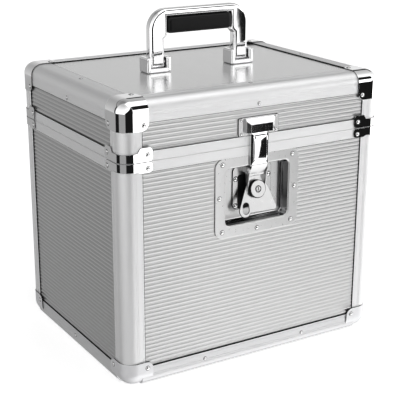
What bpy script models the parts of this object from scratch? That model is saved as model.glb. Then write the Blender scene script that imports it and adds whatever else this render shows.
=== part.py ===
"""Record carrying case: boarded body and hinged lid in aluminium extrusions.

Standalone Blender 4.5 script. Metres, +Z up. The case stands on its four ball corners at
z = 0, its front looks along -Y, and the origin is the middle of the footprint of the whole
object, with the latch and the hinge counted.
"""

import math

import bmesh
import bpy
from mathutils import Matrix, Vector

# Overall sizes of the box, over the outer faces of the extrusions
CASE_WIDTH = 0.365
CASE_DEPTH = 0.2825
BODY_PANEL_SHOW = 0.2424
LID_PANEL_SHOW = 0.0331

# Extrusions
EXTRUSION_WALL = 0.0013
POST_FLANGE = 0.0267
POST_RADIUS = 0.015
LID_EDGE_TOP_FLANGE = 0.0270
LID_EDGE_SIDE_FLANGE = 0.0261
LID_EDGE_RADIUS = 0.0135
BOTTOM_EDGE_FLANGE = 0.0225
BOTTOM_EDGE_RADIUS = 0.009
INNER_LIP_SETBACK = 0.006
CORE_BORE_RADIUS = 0.002
RIM_HEIGHT = 0.0117
RIM_TONGUE_HEIGHT = 0.004
BOARD = 0.007

# Clearances between touching pieces
GAP = 0.0003
PARTING_GAP = 0.0004
CUT_OVERRUN = 0.002
FUSE_DEPTH = 0.0003
WELD = 0.000001

# Stamped corners and clips
PRESSING = 0.001
CORNER_ARM = 0.035
CORNER_LOBE_RADIUS = 0.010
CLIP_ARM = 0.0385
CLIP_MARGIN = 0.0004
BALL_PRESSING = 0.0012
BALL_ARM = 0.0365
BALL_HEIGHT = 0.030
BALL_LOBE_RADIUS = 0.009

# Recessed dish of the latch
DISH_FLANGE_WIDTH = 0.120
DISH_FLANGE_HEIGHT = 0.0985
DISH_FLANGE_RADIUS = 0.011
DISH_WIDTH = 0.090
DISH_HEIGHT = 0.071
DISH_TOP_BAND = 0.013
DISH_RADIUS = 0.006
DISH_DEPTH = 0.014
DISH_SHEET = 0.0012
DISH_CUTOUT_CLEARANCE = 0.0005

# Latch base, with the ears and stub rivets that carry the lever
BASE_WIDTH = 0.056
BASE_HEIGHT = 0.056
BASE_SHEET = 0.0012
BASE_RADIUS = 0.008
EAR_SHEET = 0.0012
EAR_RADIUS = 0.0038
CHEEK_ARC = (-45, 135)
PIVOT_DEPTH = 0.0015
PIVOT_DROP = 0.0056
STUB_RADIUS = 0.0013
STUB_CLEARANCE = 0.0003

# Latch lever, in its own plane: s runs down from the pivot, n stands out from the plate
LEVER_TILT = math.radians(10)
LEVER_SHEET = 0.0012
LEVER_NECK_HALF = 0.0131
LEVER_TOP_S = 0.0045
LEVER_NECK_END_S = 0.0184
LEVER_SHOULDER_HALF = 0.0176
LEVER_SHOULDER_S = 0.0228
LEVER_FLARE_HALF = 0.0282
LEVER_FLARE_S = 0.0487
LEVER_FOOT_S = 0.0545
LEVER_STRAIGHT_HALF = 0.0156
LEVER_STRAIGHT_S = 0.0364
LEVER_LOBE_X = -0.0172
LEVER_LOBE_S = 0.0495
LEVER_LOBE_RADIUS = 0.0085
LEVER_LOBE_ARC = (165, 330)
PULL_HOLE_HALF_WIDTH = 0.0042
PULL_HOLE_HALF_HEIGHT = 0.0070
PULL_HOLE_X = -0.0160
PULL_HOLE_S = 0.0470
CHEEK_END_S = 0.030

# Draw arm and the pin that joins it to the lever
ARM_PIVOT_DROP = 0.007
ARM_PIVOT_SET = 0.003
ARM_PIN_RADIUS = 0.0012
ARM_BARREL_RADIUS = 0.0023
ARM_BARREL_ARC = (150, 390)
ARM_SHEET = 0.0015
ARM_HALF_WIDTH = 0.014
ARM_NECK_HALF = 0.0112
ARM_STAND_OFF = 0.0018
ARM_BEND_HEIGHT = 0.0125
ARM_PRESS_RISE = 0.0020
ARM_PRESS_MARGIN = 0.0045
ARM_PRESS_BEVEL = 0.0015
HOOK_GAP = 0.0004

# Keyed lock on the lever
LOCK_RADIUS = 0.0112
LOCK_RISE = 0.0055
LOCK_S = 0.0248
LOCK_CHAMFER = 0.0008
PLUG_RADIUS = 0.0045
PLUG_PROUD = 0.0003
SHANK_RADIUS = 0.0032
CAM_LENGTH = 0.0075
CAM_HALF_WIDTH = 0.0032
CAM_SHEET = 0.001
KEYWAY_WIDTH = 0.0012
KEYWAY_HEIGHT = 0.0040
KEYWAY_DEPTH = 0.0030

# Keeper on the lid
KEEPER_FLANGE_WIDTH = 0.0575
KEEPER_FLANGE_HEIGHT = 0.0228
KEEPER_FLANGE_RADIUS = 0.003
KEEPER_BOX_WIDTH = 0.040
KEEPER_BOX_HEIGHT = 0.0170
KEEPER_BOX_LIFT = 0.0044
KEEPER_RISE = 0.0075
KEEPER_SHEET = 0.0012
KEEPER_BEVEL = 0.0042

# Handle and its two brackets
HANDLE_HALF_WIDTH = 0.0715
HANDLE_LEG_WIDTH = 0.0205
HANDLE_THICKNESS = 0.0145
HANDLE_RISE = 0.0665
HANDLE_CORNER_RADIUS = 0.025
HANDLE_BAR = 0.0105
HANDLE_SHOULDER = 0.0042
HANDLE_SHOULDER_DROP = 0.027
GRIP_HEIGHT = 0.0205
GRIP_PROUD = 0.0008
GRIP_EDGE = 0.0045
BRACKET_WIDTH = 0.034
BRACKET_DEPTH = 0.022
BRACKET_HEIGHT = 0.0188
BRACKET_EAR = 0.0060
BRACKET_FLOOR = 0.0030
BRACKET_BAR_HEIGHT = 0.0052
BRACKET_BAR = 0.0025
BRACKET_EDGE = 0.0030
HANDLE_PIVOT_HEIGHT = 0.0112
HANDLE_PIN_RADIUS = 0.0025
HANDLE_PIN_CLEARANCE = 0.0003

# Hinge along the back of the parting line, with a stop heel on the lid leaf
HINGE_LENGTH = 0.280
HINGE_SHEET = 0.0012
HINGE_LEAF_HEIGHT = 0.020
HINGE_BARREL_RADIUS = 0.0030
HINGE_PIN_RADIUS = 0.0013
HINGE_PIN_CLEARANCE = 0.0003
HINGE_KNUCKLES = 7
HINGE_KNUCKLE_GAP = 0.0005
HINGE_HEEL = 0.0085
LID_OPEN = math.radians(105)

# Facets of round shapes
ARC_STEPS = 5
ROUND_STEPS = 16
BORE_STEPS = 12
CORE_STEPS = 8

# Heights and planes worked out from the sizes above
LIFT = GAP + BALL_PRESSING
SLOT = BOARD + 2 * GAP
LIP_FACE = 2 * EXTRUSION_WALL + SLOT
BOARD_DEPTH = EXTRUSION_WALL + GAP
HALF_WIDTH = CASE_WIDTH / 2
HALF_DEPTH = CASE_DEPTH / 2
RIM_BOTTOM = BOTTOM_EDGE_FLANGE + BODY_PANEL_SHOW
PARTING = RIM_BOTTOM + RIM_HEIGHT
LID_RIM_TOP = PARTING + RIM_HEIGHT
CASE_HEIGHT = LID_RIM_TOP + LID_PANEL_SHOW + LID_EDGE_SIDE_FLANGE
HINGE_AXIS_OUT = GAP + HINGE_BARREL_RADIUS
HINGE_OVERHANG = HINGE_AXIS_OUT + HINGE_HEEL
LATCH_OVERHANG = KEEPER_RISE
BACK_SHIFT = (LATCH_OVERHANG - HINGE_OVERHANG) / 2

DISH_TOP = RIM_BOTTOM - GAP
OPENING_TOP = DISH_TOP - DISH_TOP_BAND
OPENING_BOTTOM = OPENING_TOP - DISH_HEIGHT
PIVOT_Z = OPENING_TOP - PIVOT_DROP
PIVOT_Y = -HALF_DEPTH + PIVOT_DEPTH
KEEPER_LOW = LID_RIM_TOP + GAP
KEEPER_BOX_LOW = KEEPER_LOW + KEEPER_BOX_LIFT
ARM_PIVOT_Y = PIVOT_Y + ARM_PIVOT_SET
ARM_PIVOT_Z = PIVOT_Z - ARM_PIVOT_DROP
# The arm's pivot in the lever's own frame, and the lever plate's outer face behind its barrel
ARM_PIVOT_N = -ARM_PIVOT_SET * math.cos(LEVER_TILT) - ARM_PIVOT_DROP * math.sin(LEVER_TILT)
ARM_PIVOT_S = -ARM_PIVOT_SET * math.sin(LEVER_TILT) + ARM_PIVOT_DROP * math.cos(LEVER_TILT)
PLATE_N = ARM_PIVOT_N - ARM_BARREL_RADIUS - GAP
BRACKET_X = HANDLE_HALF_WIDTH - HANDLE_LEG_WIDTH / 2
TOP_FACE = CASE_HEIGHT - BOARD_DEPTH
HANDLE_PIVOT_Z = TOP_FACE + GAP + HANDLE_PIVOT_HEIGHT

CORNERS = {"front_left": (-1, -1), "front_right": (1, -1), "back_left": (-1, 1), "back_right": (1, 1)}
SIDES = {"front": (0, -1), "back": (0, 1), "left": (-1, 0), "right": (1, 0)}

# Finishes: base colour, metallic, roughness
FINISHES = {
    "ribbed_aluminium": ((0.72, 0.72, 0.73), 0.9, 0.38),
    "brushed_aluminium": ((0.66, 0.66, 0.67), 0.9, 0.32),
    "satin_extrusion": ((0.78, 0.78, 0.79), 0.9, 0.35),
    "bright_chrome": ((0.85, 0.85, 0.87), 1.0, 0.06),
    "nickel_plate": ((0.76, 0.75, 0.73), 1.0, 0.14),
    "zinc_steel": ((0.70, 0.70, 0.70), 1.0, 0.30),
    "black_rubber": ((0.018, 0.018, 0.018), 0.0, 0.55),
}

X_ALONG = Matrix(((0, 0, 1), (1, 0, 0), (0, 1, 0)))
Y_ALONG = Matrix(((1, 0, 0), (0, 0, -1), (0, 1, 0)))
Z_ALONG = Matrix.Identity(3)


def clear_scene():
    """Remove every object the file opened with."""
    for old in list(bpy.data.objects):
        bpy.data.objects.remove(old, do_unlink=True)


def new_collection(name):
    collection = bpy.data.collections.new(name)
    bpy.context.scene.collection.children.link(collection)
    return collection


def finish_material(name):
    """A Principled material for one of the finishes, made once."""
    material = bpy.data.materials.get(name)
    if material is None:
        colour, metallic, roughness = FINISHES[name]
        material = bpy.data.materials.new(name)
        material.use_nodes = True
        shader = material.node_tree.nodes["Principled BSDF"]
        shader.inputs["Base Color"].default_value = (*colour, 1)
        shader.inputs["Metallic"].default_value = metallic
        shader.inputs["Roughness"].default_value = roughness
    return material


def place(mesh, name, parent, at=(0, 0, 0), finish=None):
    """Link a mesh as a named object under a parent empty, at a place in that empty's frame."""
    piece = bpy.data.objects.new(name, mesh)
    PARTS.objects.link(piece)
    piece.parent = parent
    piece.location = at
    if finish:
        piece.data.materials.append(finish_material(finish))
    return piece


def empty_at(name, location, parent=None, turn=0):
    """An empty that carries pieces; a moving body's empty stands on its joint's axis."""
    holder = bpy.data.objects.new(name, None)
    PARTS.objects.link(holder)
    holder.location = location
    holder.rotation_euler.x = turn
    holder.parent = parent
    return holder


def box_mesh(low, high, round_axis=None, radius=0, steps=ARC_STEPS):
    """A box between two corners, its edges along one axis rounded where a radius is given."""
    shape = bmesh.new()
    bmesh.ops.create_cube(shape, size=1)
    size = Vector(high) - Vector(low)
    middle = (Vector(high) + Vector(low)) / 2
    bmesh.ops.scale(shape, vec=size, verts=shape.verts)
    bmesh.ops.translate(shape, vec=middle, verts=shape.verts)
    if radius:
        edges = [e for e in shape.edges if along_axis(e, round_axis)]
        round_edges(shape, edges, radius, steps)
    return to_mesh(shape)


def round_edges(shape, edges, radius, steps):
    """Round edges of a mesh being built; one step makes a plain slope."""
    bmesh.ops.bevel(shape, geom=edges, offset=radius, segments=steps, profile=0.5, affect="EDGES")


def along_axis(edge, axis):
    """True where an edge runs along the axis of that number."""
    way = edge.verts[1].co - edge.verts[0].co
    return abs(way[axis]) > way.length / 2


def to_mesh(shape):
    mesh = bpy.data.meshes.new("shape")
    bmesh.ops.recalc_face_normals(shape, faces=shape.faces)
    shape.to_mesh(mesh)
    shape.free()
    return mesh


def rod_mesh(radius, start, end, steps=ROUND_STEPS):
    """A round rod between two points."""
    start, end = Vector(start), Vector(end)
    way = end - start
    shape = bmesh.new()
    bmesh.ops.create_cone(
        shape, cap_ends=True, segments=steps, radius1=radius, radius2=radius, depth=way.length
    )
    turn = Vector((0, 0, 1)).rotation_difference(way).to_matrix().to_4x4()
    bmesh.ops.transform(shape, matrix=Matrix.Translation((start + end) / 2) @ turn, verts=shape.verts)
    return to_mesh(shape)


def arc(centre, radius, start, end, steps=ARC_STEPS):
    """Points along an arc, angles in degrees."""
    angles = [math.radians(start + (end - start) * i / steps) for i in range(steps + 1)]
    return [(centre[0] + radius * math.cos(a), centre[1] + radius * math.sin(a)) for a in angles]


def circle(centre, radius, steps=BORE_STEPS):
    """Points round a whole circle, the first not repeated."""
    return arc(centre, radius, 0, 360, steps)[:-1]


def closed_spline(curve, points):
    """Add a closed run of straight pieces to a curve."""
    spline = curve.splines.new("POLY")
    spline.points.add(len(points) - 1)
    for point, (x, y) in zip(spline.points, points):
        point.co = (x, y, 0, 1)
    spline.use_cyclic_u = True


def prism_mesh(outlines, thickness, along=Z_ALONG):
    """A flat outline, with any further outlines as its holes, given a thickness along one axis."""
    curve = bpy.data.curves.new("outline", "CURVE")
    curve.dimensions = "2D"
    curve.fill_mode = "BOTH"
    curve.extrude = thickness / 2
    for points in outlines:
        closed_spline(curve, points)
    return curve_to_mesh(curve, along)


def curve_to_mesh(curve, along=Z_ALONG):
    """The welded mesh of a curve, turned so that its thickness runs along one axis."""
    guide = bpy.data.objects.new("guide", curve)
    PARTS.objects.link(guide)
    ready = guide.evaluated_get(bpy.context.evaluated_depsgraph_get())
    mesh = bpy.data.meshes.new_from_object(ready)
    bpy.data.objects.remove(guide, do_unlink=True)
    shape = bmesh.new()
    shape.from_mesh(mesh)
    bmesh.ops.remove_doubles(shape, verts=shape.verts, dist=WELD)
    bmesh.ops.transform(shape, matrix=along.to_4x4(), verts=shape.verts)
    bpy.data.meshes.remove(mesh)
    return to_mesh(shape)


def tool(mesh, parent, at=(0, 0, 0)):
    """A hidden operand of a Boolean."""
    cutter = place(mesh, "tool", parent, at)
    PARTS.objects.unlink(cutter)
    TOOLS.objects.link(cutter)
    cutter.hide_render = True
    cutter.display_type = "WIRE"
    return cutter


def combine(piece, mesh, operation, at=(0, 0, 0)):
    """Add or cut away a shape, both placed in the piece's own parent frame."""
    modifier = piece.modifiers.new(operation.lower(), "BOOLEAN")
    modifier.operation = operation
    modifier.solver = "EXACT"
    modifier.object = tool(mesh, piece.parent, at)


def unite(piece, mesh, at=(0, 0, 0)):
    combine(piece, mesh, "UNION", at)


def cut(piece, mesh, at=(0, 0, 0)):
    combine(piece, mesh, "DIFFERENCE", at)


def channel_outline(flange_a, flange_b, radius):
    """Section of a corner extrusion: rounded outside, a board slot in each leg, a hollow core."""
    wall = EXTRUSION_WALL
    root = max(radius, LIP_FACE)
    lip_a = flange_a - INNER_LIP_SETBACK
    lip_b = flange_b - INNER_LIP_SETBACK
    outer = [(flange_a, 0), (flange_a, wall), (root, wall), (root, wall + SLOT)]
    outer += [(lip_a, wall + SLOT), (lip_a, LIP_FACE), (LIP_FACE, LIP_FACE), (LIP_FACE, lip_b)]
    outer += [(wall + SLOT, lip_b), (wall + SLOT, root), (wall, root), (wall, flange_b), (0, flange_b)]
    outer += arc((radius, radius), radius, 180, 270)
    middle = (radius * (1 - math.sqrt(0.5)) + LIP_FACE) / 2
    core = circle((middle, middle), CORE_BORE_RADIUS, CORE_STEPS)
    return [outer, core]


def flipped(outlines, side_a, side_b):
    return [[(a * side_a, b * side_b) for a, b in points] for points in outlines]


def add_post(name, body, corner, low, high):
    """An upright corner extrusion between two heights."""
    side_x, side_y = CORNERS[corner]
    section = flipped(channel_outline(POST_FLANGE, POST_FLANGE, POST_RADIUS), -side_x, -side_y)
    mesh = prism_mesh(section, high - low)
    at = (side_x * HALF_WIDTH, side_y * HALF_DEPTH, (low + high) / 2)
    return place(mesh, f"{name}_{corner}", body, at, "satin_extrusion")


def add_edge(name, body, side, height, up, flanges, radius):
    """A level extrusion along one side; up is 1 where the section rises from its height."""
    flange_across, flange_up = flanges
    side_x, side_y = side
    setback = max(flange_across, radius) + GAP
    if side_y:
        section = flipped(channel_outline(flange_across, flange_up, radius), -side_y, up)
        length = CASE_WIDTH - 2 * setback
        mesh = prism_mesh(section, length, X_ALONG)
    else:
        section = flipped(channel_outline(flange_across, flange_up, radius), -side_x, up)
        length = CASE_DEPTH - 2 * setback
        mesh = prism_mesh(section, length, Y_ALONG)
    return place(mesh, name, body, (side_x * HALF_WIDTH, side_y * HALF_DEPTH, height), "satin_extrusion")


def add_board(name, body, side, low, high):
    """An upright board between two heights, held in the slots of the posts."""
    side_x, side_y = side
    end_gap = POST_RADIUS + GAP
    outer, inner = BOARD_DEPTH, BOARD_DEPTH + BOARD
    if side_y:
        x = HALF_WIDTH - end_gap
        ys = sorted((side_y * (HALF_DEPTH - outer), side_y * (HALF_DEPTH - inner)))
        mesh = box_mesh((-x, ys[0], low), (x, ys[1], high))
    else:
        y = HALF_DEPTH - end_gap
        xs = sorted((side_x * (HALF_WIDTH - outer), side_x * (HALF_WIDTH - inner)))
        mesh = box_mesh((xs[0], -y, low), (xs[1], y, high))
    return place(mesh, name, body, finish="ribbed_aluminium")


def rounded_rectangle(half_x, half_y, radius, middle=(0, 0), steps=ARC_STEPS):
    """Points round a rectangle with round corners, anticlockwise."""
    points = []
    for side_x, side_y, start in ((1, 1, 0), (-1, 1, 90), (-1, -1, 180), (1, -1, 270)):
        centre = (middle[0] + side_x * (half_x - radius), middle[1] + side_y * (half_y - radius))
        points += arc(centre, radius, start, start + 90, steps)
    return points


def add_rim(name, body, up, tongue):
    """The frame that closes the boards at the parting line, swept round the case."""
    wall, height = EXTRUSION_WALL, RIM_HEIGHT
    inner = LIP_FACE + GAP + wall
    section = [(0, -height), (0, 0)]
    if tongue:
        section += [(LIP_FACE + GAP, 0), (LIP_FACE + GAP, RIM_TONGUE_HEIGHT), (inner, RIM_TONGUE_HEIGHT)]
        section += [(inner, -height)]
    else:
        section += [(LIP_FACE, 0), (LIP_FACE, -height)]
    section += [(wall + SLOT, -height), (wall + SLOT, -wall), (wall, -wall), (wall, -height)]
    profile = bpy.data.curves.new("section", "CURVE")
    profile.dimensions = "2D"
    closed_spline(profile, [(inward, rise * up) for inward, rise in section])
    profile_guide = bpy.data.objects.new("section_guide", profile)
    PARTS.objects.link(profile_guide)
    path = bpy.data.curves.new("rim_path", "CURVE")
    path.dimensions = "2D"
    path.bevel_mode = "OBJECT"
    path.bevel_object = profile_guide
    closed_spline(path, rounded_rectangle(HALF_WIDTH, HALF_DEPTH, POST_RADIUS))
    mesh = curve_to_mesh(path)
    bpy.data.objects.remove(profile_guide, do_unlink=True)
    height_at = PARTING - up * PARTING_GAP / 2
    return place(mesh, name, body, (0, 0, height_at), "satin_extrusion")


def corner_shell(name, body, corner, level, up, arms, radii, sheet, lobe, finish):
    """A pressed corner: the rounded corner of a box kept as sheet, stood just off the extrusions.

    level is the height of the corner point; up is 1 where the pressing rises from a closed floor,
    -1 where it hangs from a closed top, and 0 where it is a band with neither."""
    side_x, side_y = CORNERS[corner]
    arm_x, arm_y, height = arms
    upright_radius, edge_radius = radii
    rise = up if up else 1
    inward = Vector((-side_x * arm_x, -side_y * arm_y, rise * height))
    shape = bmesh.new()
    bmesh.ops.create_cube(shape, size=1)
    bmesh.ops.scale(shape, vec=[abs(v) for v in inward], verts=shape.verts)
    bmesh.ops.translate(shape, vec=inward / 2, verts=shape.verts)
    bmesh.ops.recalc_face_normals(shape, faces=shape.faces)
    outward = [Vector((side_x, 0, 0)), Vector((0, side_y, 0))]
    if up:
        outward.append(Vector((0, 0, -up)))
    spare = [f for f in shape.faces if not any(f.normal.dot(way) > 0.5 for way in outward)]
    bmesh.ops.delete(shape, geom=spare, context="FACES")
    if lobe:
        tips = [v for v in shape.verts if len(v.link_faces) == 1]
        bmesh.ops.bevel(shape, geom=tips, offset=lobe, segments=ARC_STEPS, profile=0.5, affect="VERTICES")
    upright = [e for e in shape.edges if along_axis(e, 2) and len(e.link_faces) == 2]
    round_edges(shape, upright, upright_radius, ARC_STEPS)
    if up:
        floor_way = outward[2]
        edge = [e for e in shape.edges if is_floor_edge(e, floor_way)]
        round_edges(shape, edge, edge_radius, ARC_STEPS)
    mesh = bpy.data.meshes.new(name)
    shape.to_mesh(mesh)
    shape.free()
    at = (side_x * (HALF_WIDTH + GAP), side_y * (HALF_DEPTH + GAP), level - up * GAP)
    piece = place(mesh, f"{name}_{corner}", body, at, finish)
    wall = piece.modifiers.new("sheet", "SOLIDIFY")
    wall.thickness = sheet
    wall.offset = 1
    wall.use_even_offset = True
    return piece


def is_floor_edge(edge, floor_way):
    """True for an edge between the floor face and an upright face."""
    if len(edge.link_faces) != 2:
        return False
    on_floor = [abs(f.normal.dot(floor_way)) > 0.9 for f in edge.link_faces]
    return on_floor[0] != on_floor[1]


def build_body(case):
    """Everything below the parting line but the latch."""
    inner_x = HALF_WIDTH - max(BOTTOM_EDGE_RADIUS, LIP_FACE) - GAP
    inner_y = HALF_DEPTH - max(BOTTOM_EDGE_RADIUS, LIP_FACE) - GAP
    floor = box_mesh((-inner_x, -inner_y, BOARD_DEPTH), (inner_x, inner_y, BOARD_DEPTH + BOARD))
    place(floor, "bottom_panel", case, finish="ribbed_aluminium")
    low = max(BOTTOM_EDGE_RADIUS, LIP_FACE) + GAP
    high = PARTING - PARTING_GAP / 2 - EXTRUSION_WALL - GAP
    for side, way in SIDES.items():
        board = add_board(f"body_panel_{side}", case, way, low, high)
        if side == "front":
            cut_dish_opening(board)
        flanges = (BOTTOM_EDGE_FLANGE, BOTTOM_EDGE_FLANGE)
        add_edge(f"bottom_edge_{side}", case, way, 0, 1, flanges, BOTTOM_EDGE_RADIUS)
    for corner in CORNERS:
        add_post("body_post", case, corner, BOTTOM_EDGE_FLANGE + GAP, RIM_BOTTOM - GAP)
        arms = (BALL_ARM, BALL_ARM, BALL_HEIGHT)
        radii = (POST_RADIUS + GAP, BOTTOM_EDGE_RADIUS + GAP)
        corner_shell(
            "ball_corner", case, corner, 0, 1, arms, radii, BALL_PRESSING, BALL_LOBE_RADIUS, "zinc_steel"
        )
        add_clip("body_clip", case, corner, RIM_BOTTOM + CLIP_MARGIN)
    add_rim("body_rim", case, 1, True)


def add_clip(name, body, corner, low):
    """A chrome clip that wraps one rim round one corner."""
    arms = (CLIP_ARM, CLIP_ARM, RIM_HEIGHT - 2 * CLIP_MARGIN)
    radii = (POST_RADIUS + GAP, 0)
    corner_shell(name, body, corner, low, 0, arms, radii, PRESSING, 0, "bright_chrome")


def build_lid(lid):
    """Everything that turns with the lid, in the lid empty's frame."""
    inner_x = HALF_WIDTH - max(LID_EDGE_RADIUS, LIP_FACE) - GAP
    inner_y = HALF_DEPTH - max(LID_EDGE_RADIUS, LIP_FACE) - GAP
    top_high = CASE_HEIGHT - BOARD_DEPTH
    top = box_mesh((-inner_x, -inner_y, top_high - BOARD), (inner_x, inner_y, top_high))
    place(top, "lid_panel_top", lid, finish="brushed_aluminium")
    low = PARTING + PARTING_GAP / 2 + EXTRUSION_WALL + GAP
    high = CASE_HEIGHT - max(LID_EDGE_RADIUS, LIP_FACE) - GAP
    flanges = (LID_EDGE_TOP_FLANGE, LID_EDGE_SIDE_FLANGE)
    for side, way in SIDES.items():
        add_board(f"lid_panel_{side}", lid, way, low, high)
        add_edge(f"lid_edge_{side}", lid, way, CASE_HEIGHT, -1, flanges, LID_EDGE_RADIUS)
    for corner in CORNERS:
        add_post("lid_post", lid, corner, LID_RIM_TOP + GAP, CASE_HEIGHT - LID_EDGE_SIDE_FLANGE - GAP)
        arms = (CORNER_ARM, CORNER_ARM, CORNER_ARM)
        radii = (POST_RADIUS + GAP, LID_EDGE_RADIUS + GAP)
        corner_shell(
            "lid_corner", lid, corner, CASE_HEIGHT, -1, arms, radii, PRESSING, CORNER_LOBE_RADIUS,
            "bright_chrome",
        )
        add_clip("lid_clip", lid, corner, PARTING + CLIP_MARGIN)
    add_rim("lid_rim", lid, -1, False)
    build_keeper(lid)


def front_box(half_x, low_z, high_z, proud_low, proud_high, radius=0, round_axis=1):
    """A box on the front of the case, its depth given as how far it stands proud of the front."""
    low = (-half_x, -HALF_DEPTH - proud_high, low_z)
    high = (half_x, -HALF_DEPTH - proud_low, high_z)
    return box_mesh(low, high, round_axis, radius)


def cut_dish_opening(board):
    """The hole in the front board that the dish drops into."""
    margin = DISH_SHEET + DISH_CUTOUT_CLEARANCE
    half = DISH_WIDTH / 2 + margin
    deep = BOARD_DEPTH + BOARD + CUT_OVERRUN
    radius = DISH_RADIUS + margin
    cut(board, front_box(half, OPENING_BOTTOM - margin, OPENING_TOP + margin, -deep, CUT_OVERRUN, radius))


def build_dish(case):
    """The pressed dish: a flange on the front board and a tub through it."""
    flange_low = DISH_TOP - DISH_FLANGE_HEIGHT
    half = DISH_FLANGE_WIDTH / 2
    mesh = front_box(half, flange_low, DISH_TOP, -EXTRUSION_WALL, 0, DISH_FLANGE_RADIUS)
    dish = place(mesh, "latch_dish", case, finish="nickel_plate")
    tub_half = DISH_WIDTH / 2 + DISH_SHEET
    tub_low, tub_high = OPENING_BOTTOM - DISH_SHEET, OPENING_TOP + DISH_SHEET
    bottom = -DISH_DEPTH - DISH_SHEET
    tub_radius = DISH_RADIUS + DISH_SHEET
    unite(dish, front_box(tub_half, tub_low, tub_high, bottom, -EXTRUSION_WALL / 2, tub_radius))
    cut(dish, front_box(DISH_WIDTH / 2, OPENING_BOTTOM, OPENING_TOP, -DISH_DEPTH, CUT_OVERRUN, DISH_RADIUS))


def build_base(case):
    """The plate riveted in the dish, with an ear and a stub rivet each side for the lever."""
    back = -DISH_DEPTH + GAP
    face = back + BASE_SHEET
    high = PIVOT_Z + EAR_RADIUS + GAP
    root = BASE_SHEET / 2
    base = place(
        front_box(BASE_WIDTH / 2, high - BASE_HEIGHT, high, back, face, BASE_RADIUS),
        "latch_base", case, finish="nickel_plate",
    )
    cheek_outer = LEVER_NECK_HALF
    ear_inner = cheek_outer + GAP
    for side in (-1, 1):
        ear_middle = side * (ear_inner + EAR_SHEET / 2)
        out = -PIVOT_DEPTH - back
        outline = [(root, -EAR_RADIUS)] + arc((out, 0), EAR_RADIUS, -90, 90, 2 * ARC_STEPS)
        outline += [(root, EAR_RADIUS)]
        mesh = prism_mesh([[(-a, b) for a, b in outline]], EAR_SHEET, X_ALONG)
        unite(base, mesh, (ear_middle, -HALF_DEPTH - back, PIVOT_Z))
        stub_in = side * (cheek_outer - EAR_SHEET - GAP)
        stub = rod_mesh(STUB_RADIUS, (stub_in, PIVOT_Y, PIVOT_Z), (ear_middle, PIVOT_Y, PIVOT_Z))
        unite(base, stub)


def lever_outline():
    """The lever's plate seen from the front: a narrow neck, a flare, and a pull lobe on the left."""
    lobe = (LEVER_LOBE_X, -LEVER_LOBE_S)
    points = [(-LEVER_NECK_HALF, -LEVER_TOP_S), (-LEVER_NECK_HALF, -LEVER_NECK_END_S)]
    points += [(-LEVER_STRAIGHT_HALF, -LEVER_STRAIGHT_S)]
    points += arc(lobe, LEVER_LOBE_RADIUS, *LEVER_LOBE_ARC, 2 * ARC_STEPS)
    points += [(LEVER_FLARE_HALF, -LEVER_FOOT_S), (LEVER_FLARE_HALF, -LEVER_FLARE_S)]
    points += [(LEVER_SHOULDER_HALF, -LEVER_SHOULDER_S), (LEVER_NECK_HALF, -LEVER_NECK_END_S)]
    points += [(LEVER_NECK_HALF, -LEVER_TOP_S)]
    return points


def pull_hole():
    """The oval finger hole in the lobe."""
    rise = PULL_HOLE_HALF_HEIGHT - PULL_HOLE_HALF_WIDTH
    upper = arc((PULL_HOLE_X, -PULL_HOLE_S + rise), PULL_HOLE_HALF_WIDTH, 0, 180)
    lower = arc((PULL_HOLE_X, -PULL_HOLE_S - rise), PULL_HOLE_HALF_WIDTH, 180, 360)
    return upper + lower


def build_lever(tilted):
    """The lever: a flared plate with a cheek each side reaching forward to the pivots."""
    mesh = prism_mesh([lever_outline(), pull_hole()], LEVER_SHEET, Y_ALONG)
    lever = place(mesh, "latch_lever", tilted, (0, -PLATE_N + LEVER_SHEET / 2, 0), "nickel_plate")
    back = PLATE_N - LEVER_SHEET
    for side in (-1, 1):
        outline = [(back, -CHEEK_END_S), (PLATE_N, -CHEEK_END_S), (PLATE_N + EAR_RADIUS, -LEVER_NECK_END_S)]
        outline += arc((0, 0), EAR_RADIUS, *CHEEK_ARC, 2 * ARC_STEPS) + [(back, -LEVER_TOP_S)]
        hole = circle((0, 0), STUB_RADIUS + STUB_CLEARANCE)
        pin_hole = circle((ARM_PIVOT_N, -ARM_PIVOT_S), ARM_PIN_RADIUS + GAP)
        sections = [[(-n, s) for n, s in points] for points in (outline, hole, pin_hole)]
        cheek = prism_mesh(sections, EAR_SHEET, X_ALONG)
        unite(lever, cheek, (side * (LEVER_NECK_HALF - EAR_SHEET / 2), 0, 0))
    shank_hole = rod_mesh(
        SHANK_RADIUS + GAP, lock_point(back - CUT_OVERRUN), lock_point(PLATE_N + CUT_OVERRUN)
    )
    cut(lever, shank_hole)


def lock_point(n):
    """A point on the lock's axis, n out from the pivot plane, in the lever's frame."""
    return (0, -n, -LOCK_S)


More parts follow.
